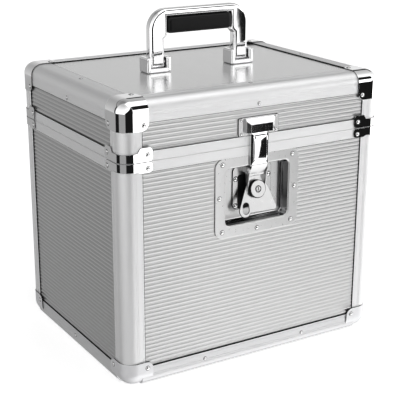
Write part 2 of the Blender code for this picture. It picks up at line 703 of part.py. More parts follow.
def build_lock(tilted):
    """The lock's round case on the lever, and the keyed plug with its cam behind the lever."""
    back, face = PLATE_N + GAP, PLATE_N + LOCK_RISE
    case_mesh = rod_mesh(LOCK_RADIUS, lock_point(back), lock_point(face), 2 * ROUND_STEPS)
    lock_case = place(case_mesh, "lock_case", tilted, finish="bright_chrome")
    ease = lock_case.modifiers.new("chamfer", "BEVEL")
    ease.width = LOCK_CHAMFER
    ease.segments = 2
    bore_ends = lock_point(back - CUT_OVERRUN), lock_point(face + CUT_OVERRUN)
    cut(lock_case, rod_mesh(PLUG_RADIUS + GAP, *bore_ends))
    cam_back = PLATE_N - LEVER_SHEET - GAP - CAM_SHEET
    plug_mesh = rod_mesh(PLUG_RADIUS, lock_point(back), lock_point(face + PLUG_PROUD))
    plug = place(plug_mesh, "lock_plug", tilted, finish="bright_chrome")
    unite(plug, rod_mesh(SHANK_RADIUS, lock_point(cam_back), lock_point(back + FUSE_DEPTH)))
    cam_low = (-CAM_HALF_WIDTH, -cam_back - CAM_SHEET, -LOCK_S - CAM_LENGTH)
    cam_high = (CAM_HALF_WIDTH, -cam_back, -LOCK_S + SHANK_RADIUS)
    unite(plug, box_mesh(cam_low, cam_high, 1, CAM_HALF_WIDTH / 2))
    key_low = (-KEYWAY_WIDTH / 2, -face - CUT_OVERRUN, -LOCK_S - KEYWAY_HEIGHT / 2)
    key_high = (KEYWAY_WIDTH / 2, -face + KEYWAY_DEPTH, -LOCK_S + KEYWAY_HEIGHT / 2)
    cut(plug, box_mesh(key_low, key_high))


def build_arm(arm_axis):
    """The draw arm: a barrel on its pin, a neck that rises out of the dish, and a pressed plate."""
    plate_back = -HALF_DEPTH - ARM_PIVOT_Y - ARM_STAND_OFF
    plate_face = plate_back - ARM_SHEET
    bend = ARM_BEND_HEIGHT
    outline = arc((0, 0), ARM_BARREL_RADIUS, *ARM_BARREL_ARC, 2 * ARC_STEPS)
    outline += [(plate_back, bend - ARM_SHEET / 2), (plate_back, bend + ARM_SHEET)]
    outline += [(plate_face, bend + ARM_SHEET), (plate_face, bend - ARM_SHEET)]
    bore = circle((0, 0), ARM_PIN_RADIUS + GAP)
    mesh = prism_mesh([outline, bore], 2 * ARM_NECK_HALF, X_ALONG)
    arm = place(mesh, "latch_arm", arm_axis, finish="bright_chrome")
    top = KEEPER_BOX_LOW - HOOK_GAP - ARM_PIVOT_Z
    unite(arm, box_mesh((-ARM_HALF_WIDTH, plate_face, bend), (ARM_HALF_WIDTH, plate_back, top)))
    press_half = ARM_HALF_WIDTH - ARM_PRESS_MARGIN
    press_low = (-press_half, plate_face - ARM_PRESS_RISE, bend + ARM_PRESS_MARGIN)
    press_high = (press_half, plate_face + ARM_SHEET / 2, top - ARM_PRESS_MARGIN)
    unite(arm, sloped_box(press_low, press_high, ARM_PRESS_BEVEL))
    pin = rod_mesh(ARM_PIN_RADIUS, (-LEVER_NECK_HALF, 0, 0), (LEVER_NECK_HALF, 0, 0))
    place(pin, "arm_pin", arm_axis, finish="nickel_plate")


def build_latch(case):
    """The draw latch in its dish, closed."""
    build_dish(case)
    build_base(case)
    lever_axis = empty_at("lever_axis", (0, PIVOT_Y, PIVOT_Z), case)
    tilted = empty_at("lever_plane", (0, 0, 0), lever_axis, -LEVER_TILT)
    build_lever(tilted)
    build_lock(tilted)
    arm_axis = empty_at("arm_axis", (0, ARM_PIVOT_SET, -ARM_PIVOT_DROP), lever_axis)
    build_arm(arm_axis)


def build_keeper(lid):
    """The keeper: a flange on the lid's front board and a box that opens downwards."""
    half = KEEPER_FLANGE_WIDTH / 2
    high = KEEPER_LOW + KEEPER_FLANGE_HEIGHT
    mesh = front_box(half, KEEPER_LOW, high, -EXTRUSION_WALL, 0, KEEPER_FLANGE_RADIUS)
    keeper = place(mesh, "latch_keeper", lid, finish="bright_chrome")
    box_high = KEEPER_BOX_LOW + KEEPER_BOX_HEIGHT
    box_half = KEEPER_BOX_WIDTH / 2
    unite(keeper, hood_mesh(box_half, KEEPER_BOX_LOW, box_high, KEEPER_RISE, KEEPER_BEVEL))
    inner_half = box_half - KEEPER_SHEET
    inner_high = box_high - KEEPER_SHEET
    inner_rise = KEEPER_RISE - KEEPER_SHEET
    cut(keeper, hood_mesh(inner_half, KEEPER_BOX_LOW - CUT_OVERRUN, inner_high, inner_rise, KEEPER_BEVEL))


def hood_mesh(half, low, high, proud, bevel):
    """A box standing off the front whose top and sides slope in to its face."""
    face_y = -HALF_DEPTH - proud
    return sloped_box((-half, face_y, low), (half, -HALF_DEPTH + EXTRUSION_WALL / 2, high), bevel, True)


def sloped_box(low, high, bevel, open_below=False):
    """A box whose front face, towards -Y, is drawn in by slopes, but for its lower edge on request."""
    shape = bmesh.new()
    shape.from_mesh(box_mesh(low, high))
    edges = [e for e in shape.edges if all(abs(v.co.y - low[1]) < GAP for v in e.verts)]
    if open_below:
        edges = [e for e in edges if not all(abs(v.co.z - low[2]) < GAP for v in e.verts)]
    round_edges(shape, edges, bevel, 1)
    return to_mesh(shape)


def build_bracket(name, lid, side):
    """A cast bracket on the lid with two ears, a low bar front and back, and its cross pin."""
    x, half_w, half_d = side * BRACKET_X, BRACKET_WIDTH / 2, BRACKET_DEPTH / 2
    floor = TOP_FACE + GAP
    low = (x - half_w, -half_d, floor)
    high = (x + half_w, half_d, floor + BRACKET_HEIGHT)
    bracket = place(box_mesh(low, high, 0, BRACKET_EDGE), name, lid, finish="bright_chrome")
    slot = half_w - BRACKET_EAR
    over = floor + BRACKET_HEIGHT + CUT_OVERRUN
    bar_top = floor + BRACKET_BAR_HEIGHT
    out = half_d + CUT_OVERRUN
    cut(bracket, box_mesh((x - slot, -out, bar_top), (x + slot, out, over)))
    well = half_d - BRACKET_BAR
    cut(bracket, box_mesh((x - slot, -well, floor + BRACKET_FLOOR), (x + slot, well, bar_top + CUT_OVERRUN)))
    pin_half = half_w - BRACKET_EAR / 2
    pin_ends = (x - pin_half, 0, HANDLE_PIVOT_Z), (x + pin_half, 0, HANDLE_PIVOT_Z)
    unite(bracket, rod_mesh(HANDLE_PIN_RADIUS, *pin_ends))


def build_handle(lid):
    """The folding handle, upright: a cast bow on two cross pins, with a grip under its bar."""
    build_bracket("handle_bracket_left", lid, -1)
    build_bracket("handle_bracket_right", lid, 1)
    axis = empty_at("handle_axis", (0, 0, HANDLE_PIVOT_Z), lid)
    foot = HANDLE_THICKNESS / 2
    outer = HANDLE_HALF_WIDTH
    inner = outer - HANDLE_LEG_WIDTH
    top = HANDLE_RISE
    bar_low = top - HANDLE_BAR
    radius = HANDLE_CORNER_RADIUS
    shoulder = inner - HANDLE_SHOULDER
    shoulder_low = top - HANDLE_SHOULDER_DROP - HANDLE_BAR
    right = [(shoulder, bar_low), (shoulder, shoulder_low + HANDLE_SHOULDER), (inner, shoulder_low)]
    right += [(inner, -foot), (outer, -foot), (outer, top - radius)]
    right += arc((outer - radius, top - radius), radius, 0, 90, 2 * ARC_STEPS)[1:]
    left = [(-x, z) for x, z in reversed(right)]
    mesh = prism_mesh([right + left], HANDLE_THICKNESS, Y_ALONG)
    bow = place(mesh, "handle_bow", axis, finish="bright_chrome")
    reach = HANDLE_LEG_WIDTH / 2 + CUT_OVERRUN
    for side in (-1, 1):
        x = side * BRACKET_X
        cut(bow, foot_cutter(foot, reach), (x, 0, 0))
        cut(bow, rod_mesh(HANDLE_PIN_RADIUS + HANDLE_PIN_CLEARANCE, (x - reach, 0, 0), (x + reach, 0, 0)))
    grip_low = (-shoulder + GAP, -foot - GRIP_PROUD, bar_low - GAP - GRIP_HEIGHT)
    grip_high = (shoulder - GAP, foot + GRIP_PROUD, bar_low - GAP)
    place(box_mesh(grip_low, grip_high, 0, GRIP_EDGE), "handle_grip", axis, finish="black_rubber")


def foot_cutter(foot, half):
    """What is cut away to round a leg's foot about its pin."""
    out = foot + CUT_OVERRUN
    outline = [(-out, 0), (-out, -out), (out, -out), (out, 0), (foot, 0)]
    outline += arc((0, 0), foot, 360, 180, 2 * ARC_STEPS)[1:]
    return prism_mesh([outline], 2 * half, X_ALONG)


def build_hinge(case, lid, hinge_axis):
    """A full-width hinge: knuckles in turn from the body leaf and the lid leaf on one pin."""
    pitch = HINGE_LENGTH / HINGE_KNUCKLES
    length = pitch - HINGE_KNUCKLE_GAP
    notch = HINGE_BARREL_RADIUS + 2 * GAP
    back = HALF_DEPTH + GAP
    leaves = {}
    for name, body, up in (("hinge_body_leaf", case, -1), ("hinge_lid_leaf", lid, 1)):
        zs = sorted((PARTING + up * notch, PARTING + up * HINGE_LEAF_HEIGHT))
        half = HINGE_LENGTH / 2
        mesh = box_mesh((-half, back, zs[0]), (half, back + HINGE_SHEET, zs[1]))
        leaves[up] = place(mesh, name, body, finish="zinc_steel")
    for number in range(HINGE_KNUCKLES):
        up = 1 if number % 2 else -1
        middle = (number + 0.5) * pitch - HINGE_LENGTH / 2
        mesh = prism_mesh(knuckle_outline(up, notch), length, X_ALONG)
        unite(leaves[up], mesh, (middle, back + HINGE_BARREL_RADIUS, PARTING))
        if up > 0:
            unite(leaves[up], heel_mesh(length), (middle, back + HINGE_BARREL_RADIUS, PARTING))
    pin_half = HINGE_LENGTH / 2
    pin = rod_mesh(HINGE_PIN_RADIUS, (-pin_half, 0, 0), (pin_half, 0, 0))
    place(pin, "hinge_pin", hinge_axis, finish="zinc_steel")


def knuckle_outline(up, notch):
    """A barrel with a tail that lies on the leaf, both bored for the pin."""
    radius, sheet = HINGE_BARREL_RADIUS, HINGE_SHEET
    tail = notch + GAP
    start = math.degrees(math.asin((radius - sheet) / radius)) + 90
    outline = [(-radius, tail), (-radius, 0)] + arc((0, 0), radius, 180, 360 + start, 3 * ARC_STEPS)[1:]
    outline += [(-radius + sheet, tail)]
    bore = circle((0, 0), HINGE_PIN_RADIUS + HINGE_PIN_CLEARANCE)
    return flipped([outline, bore], 1, up)


def heel_mesh(length):
    """The stop on a lid knuckle, which meets the body leaf when the lid is fully open."""
    reach, sheet = HINGE_HEEL, HINGE_SHEET
    leaf_face_in = HINGE_BARREL_RADIUS - sheet
    settle = math.asin((leaf_face_in - sheet / 2 - GAP) / reach)
    angle = LID_OPEN - math.pi / 2 - settle
    root = HINGE_PIN_RADIUS + HINGE_PIN_CLEARANCE + GAP
    corners = [(root, -sheet / 2), (reach, -sheet / 2), (reach, sheet / 2), (root, sheet / 2)]
    cos, sin = math.cos(angle), math.sin(angle)
    turned = [(a * cos - b * sin, a * sin + b * cos) for a, b in corners]
    return prism_mesh([turned], length, X_ALONG)


clear_scene()
PARTS = new_collection("record_carrying_case")
TOOLS = new_collection("cutters")
case_frame = empty_at("case", (0, BACK_SHIFT, LIFT))
hinge_line = empty_at("lid_axis", (0, HALF_DEPTH + HINGE_AXIS_OUT, PARTING), case_frame)
lid_frame = empty_at("lid", (0, -HALF_DEPTH - HINGE_AXIS_OUT, -PARTING), hinge_line)
bpy.context.view_layer.update()
build_body(case_frame)
build_latch(case_frame)
build_lid(lid_frame)
build_handle(lid_frame)
build_hinge(case_frame, lid_frame, hinge_line)
for part in PARTS.objects:
    if part.type == "MESH":
        part.data.shade_smooth()
        part.data.set_sharp_from_angle(angle=math.radians(30))
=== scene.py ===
# %% [markdown]
# # A record carrying case
# A record case is a plywood box faced with ribbed aluminium, framed in aluminium extrusions and
# armed with pressed metal corners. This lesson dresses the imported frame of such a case, in metres.
# The frame gives every place and every joint. Each new piece is made round it and rides on one of
# its bodies, so the lid, the latch and the handle still move.

# %% The frame
import math

import bmesh
import bpy
import numpy as np
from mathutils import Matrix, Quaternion, Vector
from mathutils.geometry import tessellate_polygon


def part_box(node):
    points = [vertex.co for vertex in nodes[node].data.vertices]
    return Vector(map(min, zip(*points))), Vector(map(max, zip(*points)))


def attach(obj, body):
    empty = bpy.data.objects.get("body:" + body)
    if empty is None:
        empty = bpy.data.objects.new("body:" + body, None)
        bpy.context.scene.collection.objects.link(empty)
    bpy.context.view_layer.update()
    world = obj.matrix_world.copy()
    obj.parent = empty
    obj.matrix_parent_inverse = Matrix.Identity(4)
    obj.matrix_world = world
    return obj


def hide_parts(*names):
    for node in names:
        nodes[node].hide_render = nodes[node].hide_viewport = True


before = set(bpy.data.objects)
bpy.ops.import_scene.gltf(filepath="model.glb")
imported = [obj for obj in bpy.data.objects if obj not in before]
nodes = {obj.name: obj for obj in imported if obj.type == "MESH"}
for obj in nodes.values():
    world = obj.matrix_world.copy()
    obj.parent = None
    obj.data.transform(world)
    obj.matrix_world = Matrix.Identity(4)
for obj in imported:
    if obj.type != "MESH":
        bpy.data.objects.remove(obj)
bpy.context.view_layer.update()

# %% [markdown]
# ## The camera
# The photograph was taken from the front left, a little above the case, with a long lens. A long
# lens keeps the box's edges nearly parallel, so the camera stands well over a metre away.

# %% Camera at the photograph's angle
SENSOR_WIDTH_MM = 36.0
LENS_MM = 95.6
EYE = (-0.6885, -1.1525, 0.6080)
YAW = 0.542
PITCH = 0.3168
ROLL = 0.0027

camera_data = bpy.data.cameras.new("photograph_view")
camera_data.sensor_width = SENSOR_WIDTH_MM
camera_data.lens = LENS_MM
camera = bpy.data.objects.new("photograph_view", camera_data)
bpy.context.scene.collection.objects.link(camera)
bpy.context.scene.camera = camera
look = Vector((math.sin(YAW) * math.cos(PITCH), math.cos(YAW) * math.cos(PITCH), -math.sin(PITCH)))
camera.location = EYE
camera.rotation_mode = "QUATERNION"
camera.rotation_quaternion = look.to_track_quat("-Z", "Y") @ Quaternion((0, 0, 1), ROLL)
print("camera", [round(v, 3) for v in camera.location])

# %% [markdown]
# ## One helper for nodes, one for colours
# Every material and the studio itself are trees of shader nodes. One function adds a node, sets
# what it says and joins its inputs, and another turns a hex colour as a designer writes it into
# the linear light that a renderer adds up.

# %% Node and colour helpers
def add(tree, kind, inputs=None, **settings):
    """Add a node; an input that is another node's socket is linked, and any other is set."""
    node = tree.nodes.new(kind)
    for name, value in settings.items():
        setattr(node, name, value)
    for name, value in (inputs or {}).items():
        if isinstance(value, bpy.types.NodeSocket):
            tree.links.new(value, node.inputs[name])
        else:
            node.inputs[name].default_value = value
    return node


def linear(colour):
    """Linear RGBA of an sRGB hex colour: the sRGB curve is undone channel by channel."""
    shares = [int(colour[i:i + 2], 16) / 255 for i in (1, 3, 5)]
    light = [s / 12.92 if s <= 0.04045 else ((s + 0.055) / 1.055) ** 2.4 for s in shares]
    return (*light, 1.0)


print("mid grey", [round(v, 3) for v in linear("#808080")])

# %% [markdown]
# ## The studio
# Chrome has no colour of its own: it shows the room. A product studio is mostly white, with a few
# black flags that draw crisp dark lines along every bend. Here the room is a world shader that
# reads only the direction, so it stays put when the camera moves. One ramp says how bright the
# walls are round the compass, a second how they change with height, and each flag is a field of
# directions, with straight sides and a top that may slope, that sets a level of its own.

# %% Studio world
FLAG_SOFTNESS = 1.2
WALLS = [
    (0, 1.20), (30, 0.85), (60, 0.78), (95, 0.46), (140, 0.50), (152, 0.66), (158, 1.15), (190, 1.20),
    (230, 1.30), (290, 2.03), (330, 2.03), (360, 1.20),
]
HEIGHTS = [
    (-90, 0.75), (-50, 0.80), (-30, 1.00), (-10, 1.35), (15, 1.02), (35, 0.76), (60, 0.50), (90, 0.46),
]
# Each flag: compass from and to, foot, top at its start, top at its end, level
FLAGS = [
    (100, 149, -60, -11, -11, 0.38), (184, 234, -60, -11, -11, 0.35), (149, 184, -34, -11, -11, 0.01),
    (234, 295, -30, -7, 49, 0.01), (302.4, 331, -25, -6, 6, 0.01), (296, 322, 17, 48, 48, 0.01),
    (20, 62, 22, 37, 37, 0.02), (62, 138, 31, 34, 34, 0.02), (138, 152, -11, 34, 34, 0.02),
]

world = bpy.data.worlds.new("studio")
bpy.context.scene.world = world
world.use_nodes = True
sky = world.node_tree
sky.nodes.clear()
direction = add(sky, "ShaderNodeTexCoord").outputs["Generated"]
parts = add(sky, "ShaderNodeSeparateXYZ", {"Vector": direction}).outputs
turn = add(sky, "ShaderNodeMath", {0: parts["Y"], 1: parts["X"]}, operation="ARCTAN2").outputs[0]
turn = add(sky, "ShaderNodeMath", {0: turn, 1: 2 * math.pi}, operation="DIVIDE").outputs[0]
turn = add(sky, "ShaderNodeMath", {0: turn}, operation="FRACT").outputs[0]
rise = add(sky, "ShaderNodeMath", {0: parts["Z"]}, operation="ARCSINE").outputs[0]
rise = add(sky, "ShaderNodeMath", {0: rise, 1: 180 / math.pi}, operation="MULTIPLY").outputs[0]
share = add(sky, "ShaderNodeMath", {0: rise, 1: 1 / 180, 2: 0.5}, operation="MULTIPLY_ADD").outputs[0]
levels = []
for fac, stops, scale, shift in ((turn, WALLS, 360, 0), (share, HEIGHTS, 180, 0.5)):
    ramp = add(sky, "ShaderNodeValToRGB", {"Fac": fac})
    spots = ramp.color_ramp.elements
    for number, (degrees, level) in enumerate(stops):
        at = degrees / scale + shift
        spot = spots[number] if number in (0, 1) else spots.new(at)
        spot.position = at
        spot.color = (level, level, level, 1)
    levels.append(ramp.outputs["Color"])
both_ramps = {0: 1.0, 6: levels[0], 7: levels[1]}
room = add(sky, "ShaderNodeMix", both_ramps, data_type="RGBA", blend_type="MULTIPLY").outputs[2]
turn = add(sky, "ShaderNodeMath", {0: turn, 1: 360.0}, operation="MULTIPLY").outputs[0]
for start, end, foot, top_start, top_end, level in FLAGS:
    slope = {"Value": turn, "From Min": start, "From Max": end, "To Min": top_start, "To Max": top_end}
    top = add(sky, "ShaderNodeMapRange", slope).outputs["Result"]
    above = add(sky, "ShaderNodeMath", {0: top, 1: rise}, operation="SUBTRACT").outputs[0]
    inside = None
    for value, edge, way in ((turn, start, 1), (turn, end, -1), (rise, foot, 1), (above, 0, 1)):
        soft = way * FLAG_SOFTNESS
        span = {"Value": value, "From Min": edge - soft, "From Max": edge + soft}
        side = add(sky, "ShaderNodeMapRange", span, interpolation_type="SMOOTHSTEP").outputs["Result"]
        if inside is None:
            inside = side
        else:
            inside = add(sky, "ShaderNodeMath", {0: inside, 1: side}, operation="MULTIPLY").outputs[0]
    cover = {0: inside, 6: room, 7: (level, level, level, 1)}
    room = add(sky, "ShaderNodeMix", cover, data_type="RGBA").outputs[2]
seen = add(sky, "ShaderNodeLightPath").outputs["Is Camera Ray"]
lit = add(sky, "ShaderNodeBackground", {"Color": room}).outputs[0]
plain = add(sky, "ShaderNodeBackground", {"Color": (1, 1, 1, 1)}).outputs[0]
both = add(sky, "ShaderNodeMixShader", {0: seen, 1: lit, 2: plain}).outputs[0]
add(sky, "ShaderNodeOutputWorld", {"Surface": both})
print("studio flags", len(FLAGS))

# %% [markdown]
# ## Floor and soft light
# The case stands on a white sweep. The floor is matt, so it keeps the soft shadow under the case,
# and a little glow that only the camera sees lifts its colour to the white of the background.
# One wide softbox overhead gives the light a direction without a hard edge.

# %% Floor and softbox
FLOOR_SIZE = 8.0
FLOOR_GLOW = 0.53
SOFTBOX_SIZE = 1.2
SOFTBOX_WATTS = 3.5
SOFTBOX_AT = (0.25, -0.55, 1.7)

bpy.ops.mesh.primitive_plane_add(size=FLOOR_SIZE)
floor = bpy.context.object
floor.name = "floor"
floor.visible_glossy = False
paint = bpy.data.materials.new("white_sweep")
paint.use_nodes = True
tree = paint.node_tree
tree.nodes.clear()
matt = add(tree, "ShaderNodeBsdfDiffuse", {"Color": linear("#EDEDED")}).outputs[0]
camera_ray = add(tree, "ShaderNodeLightPath").outputs["Is Camera Ray"]
glow_level = add(tree, "ShaderNodeMath", {0: camera_ray, 1: FLOOR_GLOW}, operation="MULTIPLY").outputs[0]
glow = add(tree, "ShaderNodeEmission", {"Strength": glow_level}).outputs[0]
sweep_shader = add(tree, "ShaderNodeAddShader", {0: matt, 1: glow}).outputs[0]
add(tree, "ShaderNodeOutputMaterial", {"Surface": sweep_shader})
floor.data.materials.append(paint)

softbox_data = bpy.data.lights.new("softbox", "AREA")
softbox_data.size = SOFTBOX_SIZE
softbox_data.energy = SOFTBOX_WATTS
softbox = bpy.data.objects.new("softbox", softbox_data)
softbox.location = SOFTBOX_AT
softbox.rotation_mode = "QUATERNION"
softbox.rotation_quaternion = (-Vector(SOFTBOX_AT)).to_track_quat("-Z", "Y")
bpy.context.scene.collection.objects.link(softbox)
bpy.context.scene.view_settings.view_transform = "Standard"
print("floor", FLOOR_SIZE, "m across")

# %% [markdown]
# ## Metals
# The case shows aluminium and plated steel in several finishes. Its faces are a thin embossed
# laminate of anodised aluminium, its frame is aluminium pushed through a die and anodised, which
# leaves faint lines along its length, and its rivets are polished aluminium. Corners, clips, arm,
# keeper and handle are chromed and polished. The dish and the lever are nickel plated, a little
# duller and warmer. The ball corners and the hinge are bright zinc plated steel.
# All are fully metallic, so their colour is the tint of what they reflect, and what tells them
# apart is roughness and the scale of their fine relief.

# %% Materials for metal
BUMP_DISTANCE = 0.0002
METAL_CONTRAST = 0.6
# Nearly all of a noise lies between these two values
NOISE_SPAN = (0.3, 0.7)
# Die lines run lengthwise, so they spread a reflection across the length. The real ones are a few
# hundredths of a millimetre apart and are drawn at half a millimetre
DIE_LINES = {"x": (0.02, 1, 1), "y": (1, 0.02, 1), "z": (1, 1, 0.02)}
DIE_SPACING = 0.0005
# Brushed from front to back, at 0.7 mm so that it shows
BRUSHING = (1, 0.03, 1)


def finish(name, colours, grain, bump, stretch=(1, 1, 1), detail=4.0, contrast=0.65):
    """A new material with its tree, shader and noise. The noise, stretched along one way of the
    surface, shifts the colour between two values and raises the surface. grain is its spacing in
    metres, stretch its shape, and contrast how much its finer octaves add."""
    material = bpy.data.materials.new(name)
    material.use_nodes = True
    tree = material.node_tree
    shader = tree.nodes["Principled BSDF"]
    place = add(tree, "ShaderNodeTexCoord").outputs["Object"]
    place = add(tree, "ShaderNodeMapping", {"Vector": place, "Scale": stretch}).outputs["Vector"]
    noise_inputs = {"Vector": place, "Scale": 1 / grain, "Detail": detail, "Roughness": contrast}
    noise = add(tree, "ShaderNodeTexNoise", noise_inputs).outputs["Fac"]
    ends = {0: noise, 6: linear(colours[0]), 7: linear(colours[1])}
    colour = add(tree, "ShaderNodeMix", ends, data_type="RGBA").outputs[2]
    tree.links.new(colour, shader.inputs["Base Color"])
    relief = {"Height": noise, "Strength": bump, "Distance": BUMP_DISTANCE}
    tree.links.new(add(tree, "ShaderNodeBump", relief).outputs["Normal"], shader.inputs["Normal"])
    return material, tree, shader, noise


def metal(name, colours, roughness, grain, bump, detail=3.0, stretch=(1, 1, 1)):
    """A plated or anodised metal, whose roughness too follows the noise between two values."""
    material, tree, shader, noise = finish(name, colours, grain, bump, stretch, detail, METAL_CONTRAST)
    shader.inputs["Metallic"].default_value = 1.0
    spread = {"Value": noise, "From Min": NOISE_SPAN[0], "From Max": NOISE_SPAN[1]}
    spread |= {"To Min": roughness[0], "To Max": roughness[1]}
    tree.links.new(add(tree, "ShaderNodeMapRange", spread).outputs["Result"], shader.inputs["Roughness"])
    return material


def lengthwise(name, colours, roughness, bump, ways="xy"):
    """One metal for each way that a length may run, its die lines stretched along that way."""
    return {
        way: metal(f"{name}_{way}", colours, roughness, DIE_SPACING, bump, stretch=DIE_LINES[way])
        for way in ways
    }


EXTRUDED = lengthwise("anodised_extrusion", ("#EAEAEB", "#F2F2F2"), (0.46, 0.52), 0.5, "xyz")
# The bottom edges: a greyer copy of the frame's anodising, painted shade low on the case
SHADED_BOTTOM_EXTRUDED = lengthwise("scuffed_extrusion", ("#D8D8D9", "#E2E2E3"), (0.46, 0.54), 0.5)
# Embossed laminate: rolled lengthwise, so its grain runs along the ribs
LAMINATE = lengthwise("embossed_aluminium_laminate", ("#B8B8B8", "#C3C3C3"), (0.28, 0.34), 0.2)
# The top sheet is the same laminate without ribs, brushed, so reflections smear along the brushing
BRUSHED = metal(
    "brushed_aluminium_laminate", ("#CBCBCB", "#D7D7D7"), (0.20, 0.27), 0.0007, 0.1, stretch=BRUSHING,
)
# Chrome over polished steel: nearly a mirror, with the slow waviness of a pressing
CHROME = metal("polished_chrome", ("#F0F0F1", "#F6F6F6"), (0.035, 0.06), 0.030, 0.3, 1.0)
# Nickel plate: satin, in very faint clouds
NICKEL = metal("satin_nickel_plate", ("#D2D2D2", "#DDDDDD"), (0.27, 0.33), 0.004, 0.1)
# The lever and its lock: the same nickel painted greyer, as painted shade that holds back the light their
# upward tilt catches
SHADED_LEVER_NICKEL = metal("barrel_plated_nickel", ("#BDBDBD", "#C8C8C8"), (0.27, 0.33), 0.004, 0.1)
# Drawn walls: the die polishes them as it stretches them, and their colour is darkened as painted shade for
# the recess
SHADED_TUB_WALL = metal("polished_drawn_nickel", ("#7C7C7D", "#909091"), (0.05, 0.09), 0.010, 0.2, 1.0)
# Zinc plate on pressed steel: bright but cloudy, in patches of a few millimetres
ZINC = metal("bright_zinc_plate", ("#E2E2E4", "#EEEEEF"), (0.50, 0.58), 0.005, 0.1)
# Rivet heads: bare polished aluminium, a little duller than the chrome
RIVETS = metal("polished_rivet_aluminium", ("#D8D8D8", "#E6E6E6"), (0.08, 0.13), 0.0015, 0.15)
# Dull dark steel on cut edges and walls: painted shade that draws the dark lines along edges, round rivet
# seats and behind the lever
EDGE_SHADE = metal("dull_cut_steel", ("#1C1C1D", "#303031"), (0.55, 0.70), 0.0008, 0.1)
print("metals", len(bpy.data.materials))

# %% [markdown]
# ## Rubber and lining
# The grip is a black moulded sleeve, matt with a very fine leathery grain; the same black lies on
# the latch's base plate as painted shadow. Inside, the boards are lined with dark needle felt, which
# scatters light in all directions and hides every joint.

# %% Materials without metal
def soft_black(name, colours, roughness, grain, bump, sheen=0.0, gloss=0.5):
    """A dark material with a grain of one size, and its constants on the shader's own sockets."""
    material, _, shader, _ = finish(name, colours, grain, bump)
    shader.inputs["Roughness"].default_value = roughness
    shader.inputs["Sheen Weight"].default_value = sheen
    shader.inputs["Specular IOR Level"].default_value = gloss
    return material


BLACK_RUBBER_AND_SHADOW = soft_black("moulded_black_rubber", ("#060607", "#0C0C0D"), 0.42, 0.0008, 0.2, gloss=0.22)
FELT = soft_black("dark_needle_felt", ("#121213", "#242426"), 0.95, 0.0012, 1.0, 0.1)
# Painted shade: a bead of black just inside the frame, for the shadow line where the sheet meets the flange
SHADE_LINE_BLACK = soft_black("black_mastic", ("#040404", "#090909"), 0.7, 0.0015, 0.2, gloss=0.1)
print("dark materials", BLACK_RUBBER_AND_SHADOW.name, FELT.name, SHADE_LINE_BLACK.name)

# %% [markdown]
# ## Surfaces from arrays
# Every new piece is a surface worked out with numpy. Three ideas make nearly all of them. A loft
# joins a row of rings, each a loop of points. A slab carries a flat outline, with its holes,
# through levels, and closes both ends. A block is a box bent onto round edges.

# %% Grids, planes and lofts
def grid_faces(rows, columns, close_rows=False, close_columns=False):
    """Four-sided faces of a grid of points numbered row by row, each joining a point to the next
    one in its row and in the row after."""
    row, column = np.meshgrid(
        np.arange(rows if close_rows else rows - 1),
        np.arange(columns if close_columns else columns - 1),
        indexing="ij",
    )
    next_row, next_column = (row + 1) % rows, (column + 1) % columns
    corners = [row * columns + column, row * columns + next_column]
    corners += [next_row * columns + next_column, next_row * columns + column]
    return np.stack(corners, -1).reshape(-1, 4)


def plane(origin, across, up):
    """A drawing plane: a point, its two ways, and the way out of it, which is across times up."""
    across, up = np.array(across, float), np.array(up, float)
    return np.array(origin, float), across, up, np.cross(across, up)


def on_plane(points, depth, sheet):
    """Flat points (a, b) at a depth out of a plane: origin + a across + b up + depth out."""
    origin, across, up, out = sheet
    points = np.asarray(points, float)
    depth = np.asarray(depth, float)[..., None]
    return origin + points[..., :1] * across + points[..., 1:] * up + depth * out


def loft(rings, cap_first=False, cap_last=False):
    """Faces through a row of closed rings with as many points each; a flat end ring can be filled."""
    rings = np.asarray(rings, float)
    rows, columns = rings.shape[:2]
    faces = grid_faces(rows, columns, close_columns=True).tolist()
    if cap_first:
        faces.append(list(range(columns)))
    if cap_last:
        faces.append(list(range((rows - 1) * columns, rows * columns)))
    return rings.reshape(-1, 3), faces


print("a 3 by 3 grid has", len(grid_faces(3, 3)), "faces")

# %% Outlines
def arc(centre, radius, start, end, steps=8):
    """Points of an arc: centre + radius (cos, sin), its angle stepping from start to end in degrees."""
    angle = np.radians(np.linspace(start, end, steps + 1))
    return np.array(centre) + radius * np.stack([np.cos(angle), np.sin(angle)], -1)


def circle(centre, radius, steps=32):
    """A full turn of an arc, without its last point, which is its first one again."""
    return arc(centre, radius, 0, 360, steps)[:-1]


def rounded_rectangle(half_a, half_b, radius, middle=(0, 0), steps=6):
    """A rectangle with a quarter arc at each corner, anticlockwise, always with as many points."""
    corners = [(1, 1, 0), (-1, 1, 90), (-1, -1, 180), (1, -1, 270)]
    runs = []
    for side_a, side_b, start in corners:
        centre = (middle[0] + side_a * (half_a - radius), middle[1] + side_b * (half_b - radius))
        runs.append(arc(centre, radius, start, start + 90, steps))
    return np.concatenate(runs)


def outward(outline):
    """At each corner of a loop, the step out that moves both its sides out by one: the sum of the
    two sides' normals over one plus their product."""
    side = np.roll(outline, -1, 0) - outline
    side /= np.maximum(np.linalg.norm(side, axis=1, keepdims=True), 1e-12)
    normal = np.stack([side[:, 1], -side[:, 0]], -1)
    before = np.roll(normal, 1, 0)
    return (normal + before) / np.maximum(1 + (normal * before).sum(1, keepdims=True), 0.3)


def rounded_levels(back, face, edge, back_edge=0.0, steps=4):
    """Levels (inset, depth) of a slab whose edges follow quarter circles: inset edge (1 - cos t)."""
    bend = np.radians(np.linspace(0, 90, steps + 1))
    levels = [(edge * (1 - math.cos(t)), face - edge + edge * math.sin(t)) for t in bend]
    if not back_edge:
        return [(0.0, back)] + levels
    under = [(back_edge * (1 - math.cos(t)), back + back_edge - back_edge * math.sin(t)) for t in bend[::-1]]
    return under + levels


def smooth(share):
    """A smooth step from 0 to 1: 3 s^2 - 2 s^3."""
    return share * share * (3 - 2 * share)


